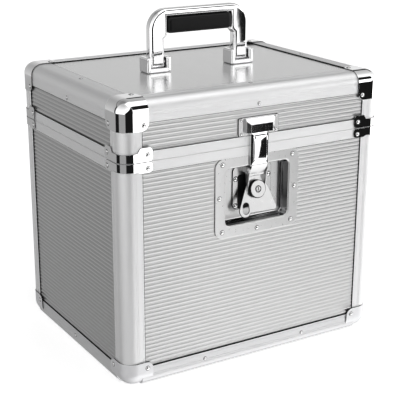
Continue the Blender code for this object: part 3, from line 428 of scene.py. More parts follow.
def slab(loops, levels, sheet, marks=(0, 0, 0)):
    """An outline and its holes carried through levels (inset, depth) and closed at both ends. marks
    are the material numbers of its walls, its first end and its last end."""
    points, faces, starts = [], [], []
    count = 0
    for loop in loops:
        step_out = outward(loop)
        rings = np.stack([on_plane(loop - inset * step_out, depth, sheet) for inset, depth in levels])
        own_points, own_faces = loft(rings)
        points.append(own_points)
        faces += (np.array(own_faces) + count).tolist()
        starts.append(count)
        count += len(own_points)
    numbers_of = [marks[0]] * len(faces)
    for row, (inset, _), mark in ((0, levels[0], marks[1]), (len(levels) - 1, levels[-1], marks[2])):
        flat = [loop - inset * outward(loop) for loop in loops]
        placed = zip(starts, loops)
        numbers = np.concatenate([start + row * len(loop) + np.arange(len(loop)) for start, loop in placed])
        triangles = tessellate_polygon([[Vector((a, b, 0)) for a, b in loop] for loop in flat])
        faces += [[int(numbers[i]) for i in triangle] for triangle in triangles]
        numbers_of += [mark] * len(triangles)
    return np.concatenate(points), faces, numbers_of


def turned(profile, sheet, centre=(0, 0), steps=32):
    """A lathe: circles whose radius and depth follow a profile about a point of the plane."""
    rings = [on_plane(circle(centre, max(radius, 1e-7), steps), depth, sheet) for radius, depth in profile]
    return loft(rings, cap_first=True, cap_last=True)


def closed_sheet(points, faces, step):
    """A thin closed sheet: a face, its copy moved by a step and turned over, and a strip along each
    border edge, which is an edge of one face only."""
    faces = np.asarray(faces)
    edges = np.stack([faces, np.roll(faces, -1, 1)], -1).reshape(-1, 2)
    _, which, times = np.unique(np.sort(edges, 1), axis=0, return_index=True, return_counts=True)
    border = edges[which[times == 1]]
    count = len(points)
    strips = np.stack([border[:, 1], border[:, 0], border[:, 0] + count, border[:, 1] + count], -1)
    both = np.concatenate([points, points + np.asarray(step)])
    return both, np.concatenate([faces, faces[:, ::-1] + count, strips]).tolist()


ground = plane((0, 0, 0), (1, 0, 0), (0, 1, 0))
square = slab([rounded_rectangle(1, 1, 0.2)], [(0, 0), (0, 1)], ground)
print("a slab of a square has", len(square[1]), "faces")

# %% [markdown]
# ## From arrays to a piece
# A piece may have several surfaces, such as a leaf and its knuckles. They are joined in one mesh,
# doubles are merged, faces are turned outwards, and the object rides on its body. Thin pressings
# start as one sheet that Solidify gives its gauge, and a small Bevel breaks their cut edges.

# %% Making a piece
WELD = 0.000002
SHARP_ANGLE = math.radians(32)


def piece(name, surfaces, material, body, stands_for=(), gauge=0.0, face_way=None, ease=0.0, extras=()):
    """One object from several surfaces (points, faces, and perhaps each face's material number). gauge
    gives a sheet its thickness behind its face, face_way the way that face looks, ease the width of
    the bevel on its cut edges, and extras are more materials, the first of them the painted shade on
    cut edges."""
    shape = bmesh.new()
    for points, faces, *marks in surfaces:
        corners = [shape.verts.new(point) for point in points]
        marks = marks[0] if marks else [0] * len(faces)
        for face, mark in zip(faces, marks):
            try:
                shape.faces.new([corners[i] for i in face]).material_index = mark
            except ValueError:
                continue
    bmesh.ops.remove_doubles(shape, verts=shape.verts, dist=WELD)
    bmesh.ops.dissolve_degenerate(shape, edges=shape.edges, dist=WELD)
    bmesh.ops.recalc_face_normals(shape, faces=shape.faces)
    if face_way is not None:
        lean = sum((face.normal * face.calc_area() for face in shape.faces), Vector())
        if lean.dot(Vector(face_way)) < 0:
            bmesh.ops.reverse_faces(shape, faces=shape.faces)
    mesh = bpy.data.meshes.new(name)
    shape.to_mesh(mesh)
    shape.free()
    mesh.materials.append(material)
    for extra in extras:
        mesh.materials.append(extra)
    mesh.shade_smooth()
    mesh.set_sharp_from_angle(angle=SHARP_ANGLE)
    made = bpy.data.objects.new(name, mesh)
    bpy.context.scene.collection.objects.link(made)
    if gauge:
        sheet = made.modifiers.new("gauge", "SOLIDIFY")
        sheet.thickness = gauge
        sheet.offset = -1
        sheet.material_offset_rim = min(len(extras), 1)
    if ease:
        bevel = made.modifiers.new("ease", "BEVEL")
        bevel.width = ease
        bevel.segments = 2
        bevel.angle_limit = SHARP_ANGLE
        bevel.harden_normals = True
    else:
        # Weighting by area keeps a flat face flat right up to its round edge
        made.modifiers.new("flat_faces", "WEIGHTED_NORMAL").keep_sharp = True
    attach(made, body)
    if stands_for:
        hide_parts(*stands_for)
    return made


def refinish(name, material):
    """A node of the frame keeps its mesh and its place, and gets a new material."""
    nodes[name].data.materials.clear()
    nodes[name].data.materials.append(material)


print("pieces weld points closer than", WELD, "m")

# %% [markdown]
# ## Where things are
# The planes of the six faces come from the frame's own extrusions, so every piece below follows
# the frame. On each side a point is given as its distance across from the middle and its height.

# %% Faces of the case
def reach(node, end, axis):
    """One coordinate of a node's box: end 0 is its low corner and 1 its high one."""
    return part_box(node)[end][axis]


WEST, EAST = reach("bottom_edge_left", 0, 0), reach("bottom_edge_right", 1, 0)
SOUTH, NORTH = reach("bottom_edge_front", 0, 1), reach("bottom_edge_back", 1, 1)
BASE, CROWN = reach("bottom_edge_front", 0, 2), reach("lid_edge_front", 1, 2)
HALF_X, HALF_Y = (EAST - WEST) / 2, (NORTH - SOUTH) / 2
MIDDLE_Y = (NORTH + SOUTH) / 2
FACES = {
    "front": plane((0, SOUTH, 0), (1, 0, 0), (0, 0, 1)),
    "back": plane((0, NORTH, 0), (-1, 0, 0), (0, 0, 1)),
    "left": plane((WEST, MIDDLE_Y, 0), (0, -1, 0), (0, 0, 1)),
    "right": plane((EAST, MIDDLE_Y, 0), (0, 1, 0), (0, 0, 1)),
    "top": plane((0, MIDDLE_Y, CROWN), (1, 0, 0), (0, 1, 0)),
    "under": plane((0, MIDDLE_Y, BASE), (1, 0, 0), (0, -1, 0)),
}
FRONT = FACES["front"]
SPANS = {"front": HALF_X, "back": HALF_X, "left": HALF_Y, "right": HALF_Y}
WAYS = {"front": "x", "back": "x", "left": "y", "right": "y"}
CORNERS = {"front_left": (-1, -1), "front_right": (1, -1), "back_left": (-1, 1), "back_right": (1, 1)}
BODY_RIM = (reach("body_rim", 0, 2), reach("lid_rim", 0, 2))
LID_RIM = (reach("lid_rim", 0, 2), reach("lid_rim", 1, 2))
BODY_FIELD = (reach("bottom_edge_front", 1, 2), BODY_RIM[0])
LID_FIELD = (LID_RIM[1], reach("lid_edge_front", 0, 2))
POST_SHOW = reach("body_post_front_left", 1, 0) - WEST
print("body field", [round(v, 4) for v in BODY_FIELD], "lid field", [round(v, 4) for v in LID_FIELD])

# %% [markdown]
# ## Ribbed laminate
# The sheets are embossed with level ribs 5 mm apart, each a soft wave. A wave is a height over a
# grid of two parameters, so the skin is real relief and not a painted stripe, and it catches the
# light as the panel turns. It stops just short of the frame, where the board's dark felt shows as a
# painted shadow line.

# %% Ribbed skins
RIB_PITCH = 0.00503
RIB_HEIGHT = 0.00050
RIB_ROWS = 14
RIB_COLUMNS = 9
RIB_SHARPNESS = 3.2
SKIN_GAP = 0.0008
BEAD_WIDTH = 0.0005
BEAD_PROUD = 0.0003
BEAD_CORNER = 0.0002
SKIN_SEAT = 0.00012
SKIN_GAUGE = 0.0001
DISH_HALF = (reach("latch_dish", 1, 0) - reach("latch_dish", 0, 0)) / 2
DISH_SPAN = (reach("latch_dish", 0, 2), reach("latch_dish", 1, 2))
DISH_COVER = 0.006
BOARD_BACK = reach("body_panel_front", 0, 1) - SOUTH


def ribbed_skin(side, field, hole=None):
    """The wave: depth = seat + height ((1 - cos(2 pi z / pitch)) / 2) ** sharpness over a grid of
    across and z. The faces whose middles lie in the hole are left out."""
    half = SPANS[side] - POST_SHOW - SKIN_GAP
    low, high = field[0] + SKIN_GAP / 2, field[1] - SKIN_GAP / 3
    rows = int(round((high - low) / RIB_PITCH * RIB_ROWS)) + 1
    heights = np.linspace(low, high, rows)
    across = np.linspace(-half, half, RIB_COLUMNS)
    if hole:
        across = np.unique(np.concatenate([across, [-hole[0], hole[0]]]))
    wave = (0.5 - 0.5 * np.cos(2 * math.pi * (heights - field[0]) / RIB_PITCH)) ** RIB_SHARPNESS
    a, z = np.meshgrid(across, heights)
    depth = np.repeat((-BOARD_BACK + SKIN_SEAT + RIB_HEIGHT * wave)[:, None], len(across), 1)
    points = on_plane(np.stack([a, z], -1), depth, FACES[side])
    faces = grid_faces(rows, len(across))
    if hole:
        flat = np.stack([a, z], -1).reshape(-1, 2)[faces].mean(1)
        inside = (abs(flat[:, 0]) < hole[0]) & (flat[:, 1] > hole[1]) & (flat[:, 1] < hole[2])
        faces = faces[~inside]
    return closed_sheet(points.reshape(-1, 3), faces, -SKIN_GAUGE * FACES[side][3])


def bead(side, half, low, high, seat, foot=BEAD_WIDTH):
    """A frame of black just inside the flanges, painted shade for the shadow line there: a slab
    between two rectangles, almost as proud as the flange's face. foot is its width along the lower side."""
    outer = rounded_rectangle(half, (high - low) / 2, BEAD_CORNER, (0, (low + high) / 2), 2)
    low, high = low + foot, high - BEAD_WIDTH
    inner = rounded_rectangle(half - BEAD_WIDTH, (high - low) / 2, BEAD_CORNER, (0, (low + high) / 2), 2)
    return slab([outer, inner[::-1]], [(0, SKIN_SEAT - seat), (0, -BEAD_PROUD)], FACES[side])


dish_hole = (DISH_HALF - DISH_COVER, DISH_SPAN[0] + DISH_COVER, DISH_SPAN[1] - DISH_COVER)
body_shade_beads, lid_shade_beads = [], []
for side in SPANS:
    way = WAYS[side]
    body_skin = ribbed_skin(side, BODY_FIELD, dish_hole if side == "front" else None)
    piece(f"body_skin_{side}", [body_skin], LAMINATE[way], "case")
    piece(f"lid_skin_{side}", [ribbed_skin(side, LID_FIELD)], LAMINATE[way], "lid")
    body_shade_beads.append(bead(side, SPANS[side] - POST_SHOW, *BODY_FIELD, BOARD_BACK, BEAD_WIDTH * 1.6))
    lid_shade_beads.append(bead(side, SPANS[side] - POST_SHOW, *LID_FIELD, BOARD_BACK, BEAD_WIDTH / 2))
print("ribs on the body", round((BODY_FIELD[1] - BODY_FIELD[0]) / RIB_PITCH))

# %% [markdown]
# ## Plain skins and lining
# The top is the same sheet without ribs, brushed from front to back, and the underside is plain.
# The boards themselves stay the frame's own nodes, in dark felt, and show when the lid is open;
# in the gaps beside the frame their dark felt is painted shadow.

# %% Top skin, underside and lining
PLAIN_GRID = (13, 11)
EDGE_SHOW = reach("lid_edge_left", 1, 0) - WEST
UNDER_SHOW = reach("bottom_edge_left", 1, 0) - WEST
TOP_SEAT = CROWN - reach("lid_panel_top", 1, 2)
UNDER_SEAT = reach("bottom_panel", 0, 2) - BASE


def plain_skin(side, show, seat):
    """A flat grid, level at the board's face, inside the frame's flanges."""
    a, b = np.meshgrid(
        np.linspace(-HALF_X + show + SKIN_GAP, HALF_X - show - SKIN_GAP, PLAIN_GRID[0]),
        np.linspace(-HALF_Y + show + SKIN_GAP, HALF_Y - show - SKIN_GAP, PLAIN_GRID[1]),
    )
    points = on_plane(np.stack([a, b], -1), np.full(a.shape, SKIN_SEAT - seat), FACES[side])
    return closed_sheet(points.reshape(-1, 3), grid_faces(*a.shape), -SKIN_GAUGE * FACES[side][3])


piece("lid_skin_top", [plain_skin("top", EDGE_SHOW, TOP_SEAT)], BRUSHED, "lid")
piece("bottom_skin", [plain_skin("under", UNDER_SHOW, UNDER_SEAT)], BRUSHED, "case")
top_half = HALF_Y - EDGE_SHOW
lid_shade_beads.append(bead("top", HALF_X - EDGE_SHOW, -top_half, top_half, TOP_SEAT))
under_half = HALF_Y - UNDER_SHOW
body_shade_beads.append(bead("under", HALF_X - UNDER_SHOW, -under_half, under_half, UNDER_SEAT))
piece("lid_shade_beads", lid_shade_beads, SHADE_LINE_BLACK, "lid")
piece("body_shade_beads", body_shade_beads, SHADE_LINE_BLACK, "case")
boards = [name for name in nodes if "panel" in name]
for name in boards:
    refinish(name, FELT)
print("lined boards", len(boards))

# %% [markdown]
# ## Extrusions
# Each length of frame has one section all along: a round corner, two flanges over the boards, a
# slot for each board behind them, and inner lips. The die leaves narrow grooves beside the round
# corner. The section is drawn once from its sizes and carried along every edge.

# %% The section of an extrusion
WALL = 0.0013
SLOT = 0.0076
LIP_SETBACK = 0.006
GROOVE_HALF = 0.00032
GROOVE_DEPTH = 0.00022
FLANGE_EASE = 0.0004


def grooved_flange(start, end, grooves):
    """Points along a flange's outer face, with a small V at each groove and its free edge eased."""
    run = [(start, 0.0)]
    for middle in grooves:
        run += [(middle - GROOVE_HALF, 0.0), (middle, GROOVE_DEPTH), (middle + GROOVE_HALF, 0.0)]
    return run + [(end - FLANGE_EASE, 0.0), (end, FLANGE_EASE)]


def extrusion_section(flange_a, flange_b, radius, groove_shares=(0.12, 0.30, 0.80)):
    """The section as (inward from one face, inward from the other): outer round, two grooved
    flanges, then back round the slots and the inner lips."""
    lip = 2 * WALL + SLOT
    root = max(radius, lip)
    arms = []
    for flange in (flange_a, flange_b):
        grooves = [radius + share * (flange - radius) for share in groove_shares]
        arms.append(grooved_flange(radius, flange, grooves))
    inner_a = [(flange_a, WALL), (root, WALL), (root, WALL + SLOT), (flange_a - LIP_SETBACK, WALL + SLOT)]
    inner_a += [(flange_a - LIP_SETBACK, lip), (lip, lip)]
    inner_b = [(lip, flange_b - LIP_SETBACK), (WALL + SLOT, flange_b - LIP_SETBACK), (WALL + SLOT, root)]
    inner_b += [(WALL, root), (WALL, flange_b)]
    outer_b = [(b, a) for a, b in reversed(arms[1])]
    corner = arc((radius, radius), radius, 180, 270, 14)[1:-1]
    return np.array(arms[0] + inner_a + inner_b + outer_b + corner.tolist())


print("points in a section", len(extrusion_section(0.0267, 0.0267, 0.015)))

# %% Posts and edges
POST_RADIUS = 0.015
LID_EDGE_RADIUS = 0.0135
BOTTOM_EDGE_RADIUS = 0.009


def upright(node, corner):
    """A post: its section stands on a corner of the case and runs up between the node's ends."""
    side_x, side_y = CORNERS[corner]
    low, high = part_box(node)
    sheet = plane((side_x * HALF_X, MIDDLE_Y + side_y * HALF_Y, 0), (-side_x, 0, 0), (0, -side_y, 0))
    flange = (high - low)[0]
    ends = [(0, low[2] * side_x * side_y), (0, high[2] * side_x * side_y)]
    return slab([extrusion_section(flange, flange, POST_RADIUS)], ends, sheet)


def level_edge(node, side, radius, height, up):
    """An edge: its section hangs on a corner line of the case and runs along between the node's ends."""
    low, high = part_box(node)
    size = high - low
    if side in ("front", "back"):
        sign = -1 if side == "front" else 1
        sheet = plane((0, MIDDLE_Y + sign * HALF_Y, height), (0, -sign, 0), (0, 0, up))
        flanges, run = (size[1], size[2]), (low[0], high[0])
    else:
        sign = -1 if side == "left" else 1
        sheet = plane((sign * HALF_X, 0, height), (-sign, 0, 0), (0, 0, up))
        flanges, run = (size[0], size[2]), (low[1], high[1])
    way = sheet[3].sum()
    return slab([extrusion_section(*flanges, radius)], [(0, run[0] * way), (0, run[1] * way)], sheet)


for corner in CORNERS:
    for kind, body in (("body_post", "case"), ("lid_post", "lid")):
        node = f"{kind}_{corner}"
        piece(f"{node}_extrusion", [upright(node, corner)], EXTRUDED["z"], body, [node])
for side in SPANS:
    way = WAYS[side]
    for kind, body, radius, height, up, finish in (
        ("bottom_edge", "case", BOTTOM_EDGE_RADIUS, BASE, 1, SHADED_BOTTOM_EXTRUDED),
        ("lid_edge", "lid", LID_EDGE_RADIUS, CROWN, -1, EXTRUDED),
    ):
        node = f"{kind}_{side}"
        surface = level_edge(node, side, radius, height, up)
        piece(f"{node}_extrusion", [surface], finish[way], body, [node])
print("extrusions", 4 * 4)

# %% [markdown]
# ## Rims
# A flat extrusion is bent round the case above and below the parting line. The lower one carries a
# tongue that the lid drops over. A profile is carried round a closed path: each section point
# steps inwards from the path along its normal.

# %% Rims at the parting line
RIM_GROOVE_SHARES = (0.16, 0.84)
TONGUE_GAP = 0.0003
TONGUE_HEIGHT = 0.004
RIM_EASE = 0.0005


def rim(low, high, up, tongue):
    """The rim section swept round the rounded rectangle of the case; up is 1 where it closes a top."""
    height = high - low
    closed_at = high if up > 0 else low
    lip = 2 * WALL + SLOT
    run = [(0, -height)]
    for share in RIM_GROOVE_SHARES:
        middle = -height * (1 - share)
        run += [(0, middle - GROOVE_HALF), (GROOVE_DEPTH, middle), (0, middle + GROOVE_HALF)]
    run += [(0, -RIM_EASE), (RIM_EASE, 0)]
    if tongue:
        outer = lip + TONGUE_GAP
        inner = outer + WALL
        run += [(outer, 0), (outer, TONGUE_HEIGHT), (inner, TONGUE_HEIGHT), (inner, -height)]
    else:
        run += [(lip, 0), (lip, -height)]
    run += [(WALL + SLOT, -height), (WALL + SLOT, -WALL), (WALL, -WALL), (WALL, -height)]
    section = np.array(run)
    path = rounded_rectangle(HALF_X, HALF_Y, POST_RADIUS, (0, MIDDLE_Y), 12)
    inward = -outward(path)
    flat = path[:, None] + section[None, :, :1] * inward[:, None]
    heights = np.broadcast_to(closed_at + up * section[None, :, 1], flat.shape[:2])
    points = np.concatenate([flat, heights[..., None]], -1)
    return points.reshape(-1, 3), grid_faces(len(path), len(section), True, True).tolist()


body_rim = rim(BODY_RIM[0], BODY_RIM[1] - TONGUE_GAP, 1, True)
piece("body_rim_extrusion", [body_rim], EXTRUDED["x"], "case", ["body_rim"])
lid_rim = rim(*LID_RIM, -1, False)
piece("lid_rim_extrusion", [lid_rim], EXTRUDED["x"], "lid", ["lid_rim"])
print("rim heights", [round(v, 4) for v in (*BODY_RIM, *LID_RIM)])

# %% [markdown]
# ## Pressed corners
# A corner cap is one sheet pressed over the point where three extrusions meet. Each of its three
# lobes is a square patch with one round end. All three are bent onto the same round-edged corner:
# a point is pulled towards the nearest inner point that lies a radius inside every face.

# %% Caps for the lid and the foot
CAP_STAND = 0.0003
LID_CAP = {"arms": (0.035, 0.035, 0.035), "radii": (0.0163, 0.0163, 0.0148), "lobe": 0.010, "gauge": 0.001}
FOOT_CAP = {
    "arms": (0.0365, 0.0365, 0.0300), "radii": (0.0190, 0.0190, 0.0180), "lobe": 0.009, "gauge": 0.0012,
}
CAP_STEPS = 30
CAP_EASE = 0.0003


def lobed_patch(size_a, size_b, lobe):
    """A grid over a rectangle whose far corner is round: there a point keeps its way from the
    lobe's middle, and its distance becomes the larger of its two sides."""
    u, v = np.meshgrid(np.linspace(0, size_a, CAP_STEPS), np.linspace(0, size_b, CAP_STEPS), indexing="ij")
    beyond_a, beyond_b = u - (size_a - lobe), v - (size_b - lobe)
    far = (beyond_a > 0) & (beyond_b > 0)
    length = np.maximum(np.hypot(beyond_a, beyond_b), 1e-9)
    scale = np.where(far, np.maximum(beyond_a, beyond_b) / length, 1)
    u = np.where(far, size_a - lobe + beyond_a * scale, u)
    v = np.where(far, size_b - lobe + beyond_b * scale, v)
    return u, v


def corner_cap(corner, level, up, arms, radii, lobe, gauge):
    """Three lobed patches on a round-edged corner. A point p becomes q + r n, where q is p pushed
    at least r inside each face and n the way from q to p, measured in radii."""
    side_x, side_y = CORNERS[corner]
    radii = np.array(radii)
    stand = CAP_STAND + gauge
    tip = np.array([side_x * (HALF_X + stand), MIDDLE_Y + side_y * (HALF_Y + stand), level - up * stand])
    ways = np.array([-side_x, -side_y, up])
    surfaces = []
    for face in range(3):
        first, second = [axis for axis in range(3) if axis != face]
        u, v = lobed_patch(arms[first] + stand, arms[second] + stand, lobe)
        sharp = np.zeros((CAP_STEPS, CAP_STEPS, 3))
        sharp[..., first], sharp[..., second] = u, v
        inner = np.maximum(sharp, radii)
        way = (sharp - inner) / radii
        way /= np.linalg.norm(way, axis=-1, keepdims=True)
        bent = inner + radii * way
        surfaces.append(((tip + ways * bent).reshape(-1, 3), grid_faces(CAP_STEPS, CAP_STEPS).tolist()))
    return surfaces


for corner, (side_x, side_y) in CORNERS.items():
    for name, node, sizes, level, up, plate, body, slot in (
        ("lid_cap", "lid_corner", LID_CAP, CROWN, -1, CHROME, "lid", "bright_chrome"),
        ("foot_cap", "ball_corner", FOOT_CAP, BASE, 1, ZINC, "case", "zinc_steel"),
    ):
        # Its cut edges take the dark steel: painted shade along the cap's edges
        piece(
            f"{name}_{corner}", corner_cap(corner, level, up, **sizes), plate, body,
            [f"{node}_{corner}"], sizes["gauge"], (side_x, side_y, -up), CAP_EASE, [EDGE_SHADE],
        )
print("caps", 2 * len(CORNERS))

# %% [markdown]
# ## Clips
# A clip wraps each rim round each corner. It is narrow on the bend and widens into a lobe at each
# end, where its rivet sits. Its surface has one parameter along the bent path and one across.

# %% Clips round the corners
CLIP_ARM = 0.0390
CLIP_LOBE = 0.0145
CLIP_BLEND = 0.005
CLIP_END_RADIUS = 0.0045
CLIP_GAUGE = 0.0008
CLIP_EASE = CLIP_GAUGE / 6
CLIP_STAND = 0.0003
CLIP_MARGIN = 0.0005
LID_CLIP_RISE = (0.0102, 0.0160)
BODY_CLIP_RISE = (0.0102, 0.0118)


def clip(corner, base, up, rises):
    """Along the path the clip is as high as its band, then rises by a smooth step to its lobe, and
    at its ends both edges draw in along a circle."""
    side_x, side_y = CORNERS[corner]
    stand = CLIP_STAND + CLIP_GAUGE
    radius = POST_RADIUS + stand
    straight = np.linspace(CLIP_ARM, POST_RADIUS, 26)
    bend = arc((POST_RADIUS, POST_RADIUS), radius, 270, 180, 20)[1:-1]
    arm = np.stack([straight, np.full(len(straight), -stand)], -1)
    path = np.concatenate([arm, bend, arm[::-1, ::-1]])
    run = CLIP_ARM - straight
    from_end = np.concatenate([run, np.full(len(bend), CLIP_ARM), run[::-1]])
    share = smooth(np.clip((from_end - CLIP_LOBE) / CLIP_BLEND, 0, 1))
    rise = rises[1] + (rises[0] - rises[1]) * share
    short = np.clip(CLIP_END_RADIUS - from_end, 0, CLIP_END_RADIUS)
    drawn = CLIP_END_RADIUS - np.sqrt(CLIP_END_RADIUS**2 - short**2)
    across = np.linspace(0, 1, 7)
    height = base + up * (CLIP_MARGIN + drawn[:, None] + across[None, :] * (rise - 2 * drawn)[:, None])
    x = side_x * (HALF_X - path[:, 0])
    y = MIDDLE_Y + side_y * (HALF_Y - path[:, 1])
    flat = np.broadcast_to(np.stack([x, y], -1)[:, None], (*height.shape, 2))
    points = np.concatenate([flat, height[..., None]], -1)
    return points.reshape(-1, 3), grid_faces(*height.shape).tolist()


PARTING = (BODY_RIM[1] + LID_RIM[0]) / 2
CLIPS = (("lid_clip", "lid", 1, LID_CLIP_RISE), ("body_clip", "case", -1, BODY_CLIP_RISE))
for corner, (side_x, side_y) in CORNERS.items():
    for kind, body, up, rises in CLIPS:
        node = f"{kind}_{corner}"
        surface = clip(corner, PARTING, up, rises)
        # Its cut edges take the dark steel: painted shade along the clip's edges
        piece(
            f"{node}_pressing", [surface], CHROME, body, [node],
            CLIP_GAUGE, (side_x, side_y, 0), CLIP_EASE, [EDGE_SHADE],
        )
print("clips", 2 * len(CORNERS))

# %% [markdown]
# ## Rivets
# Blind rivets hold every fitting. Each is a low dome on a thin flange. One dome is worked out, then
# copied to all its places at once by an array sum over frames, one frame for each place.

# %% Rivet domes
RIVET_RADIUS = 0.0026
RIVET_RISE = 0.0010
RIVET_FLANGE = 0.00025
RIVET_SEAT_SHARE = 1.22
RIVET_LIFT = 0.00002
RIVET_SIDES = 16


def rivets(name, places, material, body, slot, radius=RIVET_RADIUS, rise=RIVET_RISE):
    """Domes at (side, a, b, depth). The dome's profile is a flat ellipse from the flange's rim up
    to the pole, with a dark sloping seat round it as painted shade where the head meets the
    surface, and every copy is origin + a across + b up + depth out."""
    bend = np.radians(np.linspace(0, 90, 6))
    radii = np.concatenate([[radius * RIVET_SEAT_SHARE] * 2, radius * np.cos(bend)])
    depths = np.concatenate([[-RIVET_FLANGE, RIVET_LIFT], RIVET_FLANGE + rise * np.sin(bend)])
    ring = circle((0, 0), 1.0, RIVET_SIDES)
    surfaces = []
    for side, a, b, depth in places:
        steps = zip(radii, depths)
        rings = [on_plane(ring * max(r, 1e-6) + (a, b), d + depth, FACES[side]) for r, d in steps]
        points, faces = loft(rings, cap_first=True, cap_last=True)
        # The seat's two lowest bands are dark: painted shade round the head
        marks = [int(number < 2 * RIVET_SIDES) for number in range(len(faces))]
        surfaces.append((points, faces, marks))
    return piece(name, surfaces, material, body, extras=[EDGE_SHADE])


CAP_RIVET = 0.0285
CAP_RIVET_DROP = 0.0282
FOOT_RIVET = 0.0290
FOOT_RIVET_HEIGHT = 0.0222
CLIP_RIVET = 0.0332
CLIP_RIVET_RISE = 0.0084
BODY_CLIP_RIVET_LIFT = 0.001
FRAME_RIVET_INSET = 0.0195
FRAME_RIVET_DROP = 0.0212
FOOT_FRAME_RIVET = 0.0140
SILL_RIVET = 0.0730
LID_STAND = CAP_STAND + LID_CAP["gauge"]
FOOT_STAND = CAP_STAND + FOOT_CAP["gauge"]
BAND_STAND = CLIP_STAND + CLIP_GAUGE
cap_places, foot_places, lid_clip_places, body_clip_places = [], [], [], []
for side, span in SPANS.items():
    for sign in (-1, 1):
        cap_places.append((side, sign * (span - CAP_RIVET), CROWN - CAP_RIVET_DROP, LID_STAND))
        foot_places.append((side, sign * (span - FOOT_RIVET), BASE + FOOT_RIVET_HEIGHT, FOOT_STAND))
        at_clip = sign * (span - CLIP_RIVET)
        lid_clip_places.append((side, at_clip, PARTING + CLIP_RIVET_RISE, BAND_STAND))
        body_height = PARTING - CLIP_RIVET_RISE + BODY_CLIP_RIVET_LIFT
        body_clip_places.append((side, at_clip, body_height, BAND_STAND))
for side_x, side_y in CORNERS.values():
    cap_places.append(("top", side_x * (HALF_X - CAP_RIVET), side_y * (HALF_Y - CAP_RIVET), LID_STAND))
frame_places = [(side, 0, CROWN - FRAME_RIVET_DROP, 0) for side in SPANS]
frame_places += [("top", 0, side * (HALF_Y - FRAME_RIVET_INSET), 0) for side in (-1, 1)]
frame_places += [("top", side * (HALF_X - FRAME_RIVET_INSET), 0, 0) for side in (-1, 1)]
sill = BASE + FOOT_FRAME_RIVET
sill_places = [(side, sign * SILL_RIVET, sill, 0) for side in ("front", "back") for sign in (-1, 1)]
sill_places += [(side, 0, sill, 0) for side in ("left", "right")]
small = (RIVET_RADIUS * 0.8, RIVET_RISE * 0.8)
rivets("lid_cap_rivets", cap_places, RIVETS, "lid", "bright_chrome")
rivets("lid_clip_rivets", lid_clip_places, RIVETS, "lid", "bright_chrome")
rivets("body_clip_rivets", body_clip_places, RIVETS, "case", "bright_chrome")
rivets("foot_cap_rivets", foot_places, RIVETS, "case", "nickel_plate")
rivets("lid_frame_rivets", frame_places, RIVETS, "lid", "nickel_plate", *small)
rivets("body_frame_rivets", sill_places, RIVETS, "case", "nickel_plate", *small)
groups = (cap_places, lid_clip_places, body_clip_places, foot_places, frame_places, sill_places)
print("rivets so far", sum(map(len, groups)))

# %% [markdown]
# ## The dish
# The latch lies in a dish, one sheet pressed through the front board. Its loops go from the rim of
# the flange over the edge and down into the tub, and its floor meets the walls in a soft bend.

# %% Dish of the latch
DISH_GAUGE = 0.0011
DISH_RADIUS = 0.011
DISH_EDGE = 0.0005
TUB_HALF = (0.045, 0.0355)
TUB_RADIUS = 0.006
TUB_MOUTH = 0.0020
TUB_TOP_BAND = 0.013
TUB_DEPTH = 0.014
TUB_FILLET = 0.0042
LEAST_CORNER = 0.0003
FLANGE_HALF = (DISH_HALF, (DISH_SPAN[1] - DISH_SPAN[0]) / 2)
FLANGE_MIDDLE = (0, (DISH_SPAN[0] + DISH_SPAN[1]) / 2)
TUB_MIDDLE = (0, DISH_SPAN[1] - TUB_TOP_BAND - TUB_HALF[1])


def ring_on(half, radius, middle, inset, depth):
    """One loop on the front: a rounded rectangle drawn in by an inset, at a depth."""
    outline = rounded_rectangle(half[0] - inset, half[1] - inset, max(radius - inset, LEAST_CORNER), middle)
    return on_plane(outline, depth, FRONT)


bend = np.radians(np.linspace(0, 90, 6))
flange = rounded_levels(-WALL, 0, DISH_EDGE, steps=5)
mouth = [(-TUB_MOUTH * (1 - math.sin(t)), -TUB_MOUTH * (1 - math.cos(t))) for t in bend]
floor_bend = [(TUB_FILLET * (1 - math.cos(t)), -TUB_DEPTH + TUB_FILLET * (1 - math.sin(t))) for t in bend]
rings = [ring_on(FLANGE_HALF, DISH_RADIUS, FLANGE_MIDDLE, *level) for level in flange]
rings += [ring_on(TUB_HALF, TUB_RADIUS, TUB_MIDDLE, *level) for level in mouth + floor_bend]
dish_points, dish_faces = loft(rings, cap_last=True)
# The first band, the cut edge, is dark as painted edge shade, and the bands of the tub's side are the drawn
# wall, darkened as painted shade for the recess
band = np.arange(len(dish_faces)) // len(rings[0])
drawn = (band >= len(flange) + len(mouth) - 2) & (band <= len(rings) - 3)
dish_marks = np.where(band == 0, 1, np.where(drawn, 2, 0)).tolist()
piece(
    "latch_dish_pressing", [(dish_points, dish_faces, dish_marks)], NICKEL, "case",
    ["latch_dish"], DISH_GAUGE, (0, -1, 0), extras=[EDGE_SHADE, SHADED_TUB_WALL],
)
DISH_RIVETS = [(-0.050, 0.2580), (0.050, 0.2580), (-0.054, 0.2170), (0.054, 0.2170)]
DISH_RIVETS += [(-0.050, 0.1740), (0.050, 0.1740), (0, 0.1716)]
rivets("dish_rivets", [("front", a, BASE + z, 0) for a, z in DISH_RIVETS], RIVETS, "case", "nickel_plate")
print("dish rings", len(rings))

# %% [markdown]
# ## Base plate and lever
# The base plate is riveted to the dish's floor, with an ear each side for the lever's stub rivets.
# The lever is a flat plate that leans out at the foot, with a pull lobe and a finger hole at its
# lower left, and a cheek each side. Both are slabs of an outline, with holes as further loops.
# Between them a dark pad lies on the base plate, as painted shadow under the lever's left side.

# %% Base plate
BASE_HALF = (0.028, 0.028)
BASE_RADIUS = 0.008
BASE_SHEET = 0.0012
BASE_GAP = 0.0003
EAR_RADIUS = 0.0038
EAR_SHEET = 0.0012
BASE_EDGE = 0.0005
CUT_EASE = 0.0003
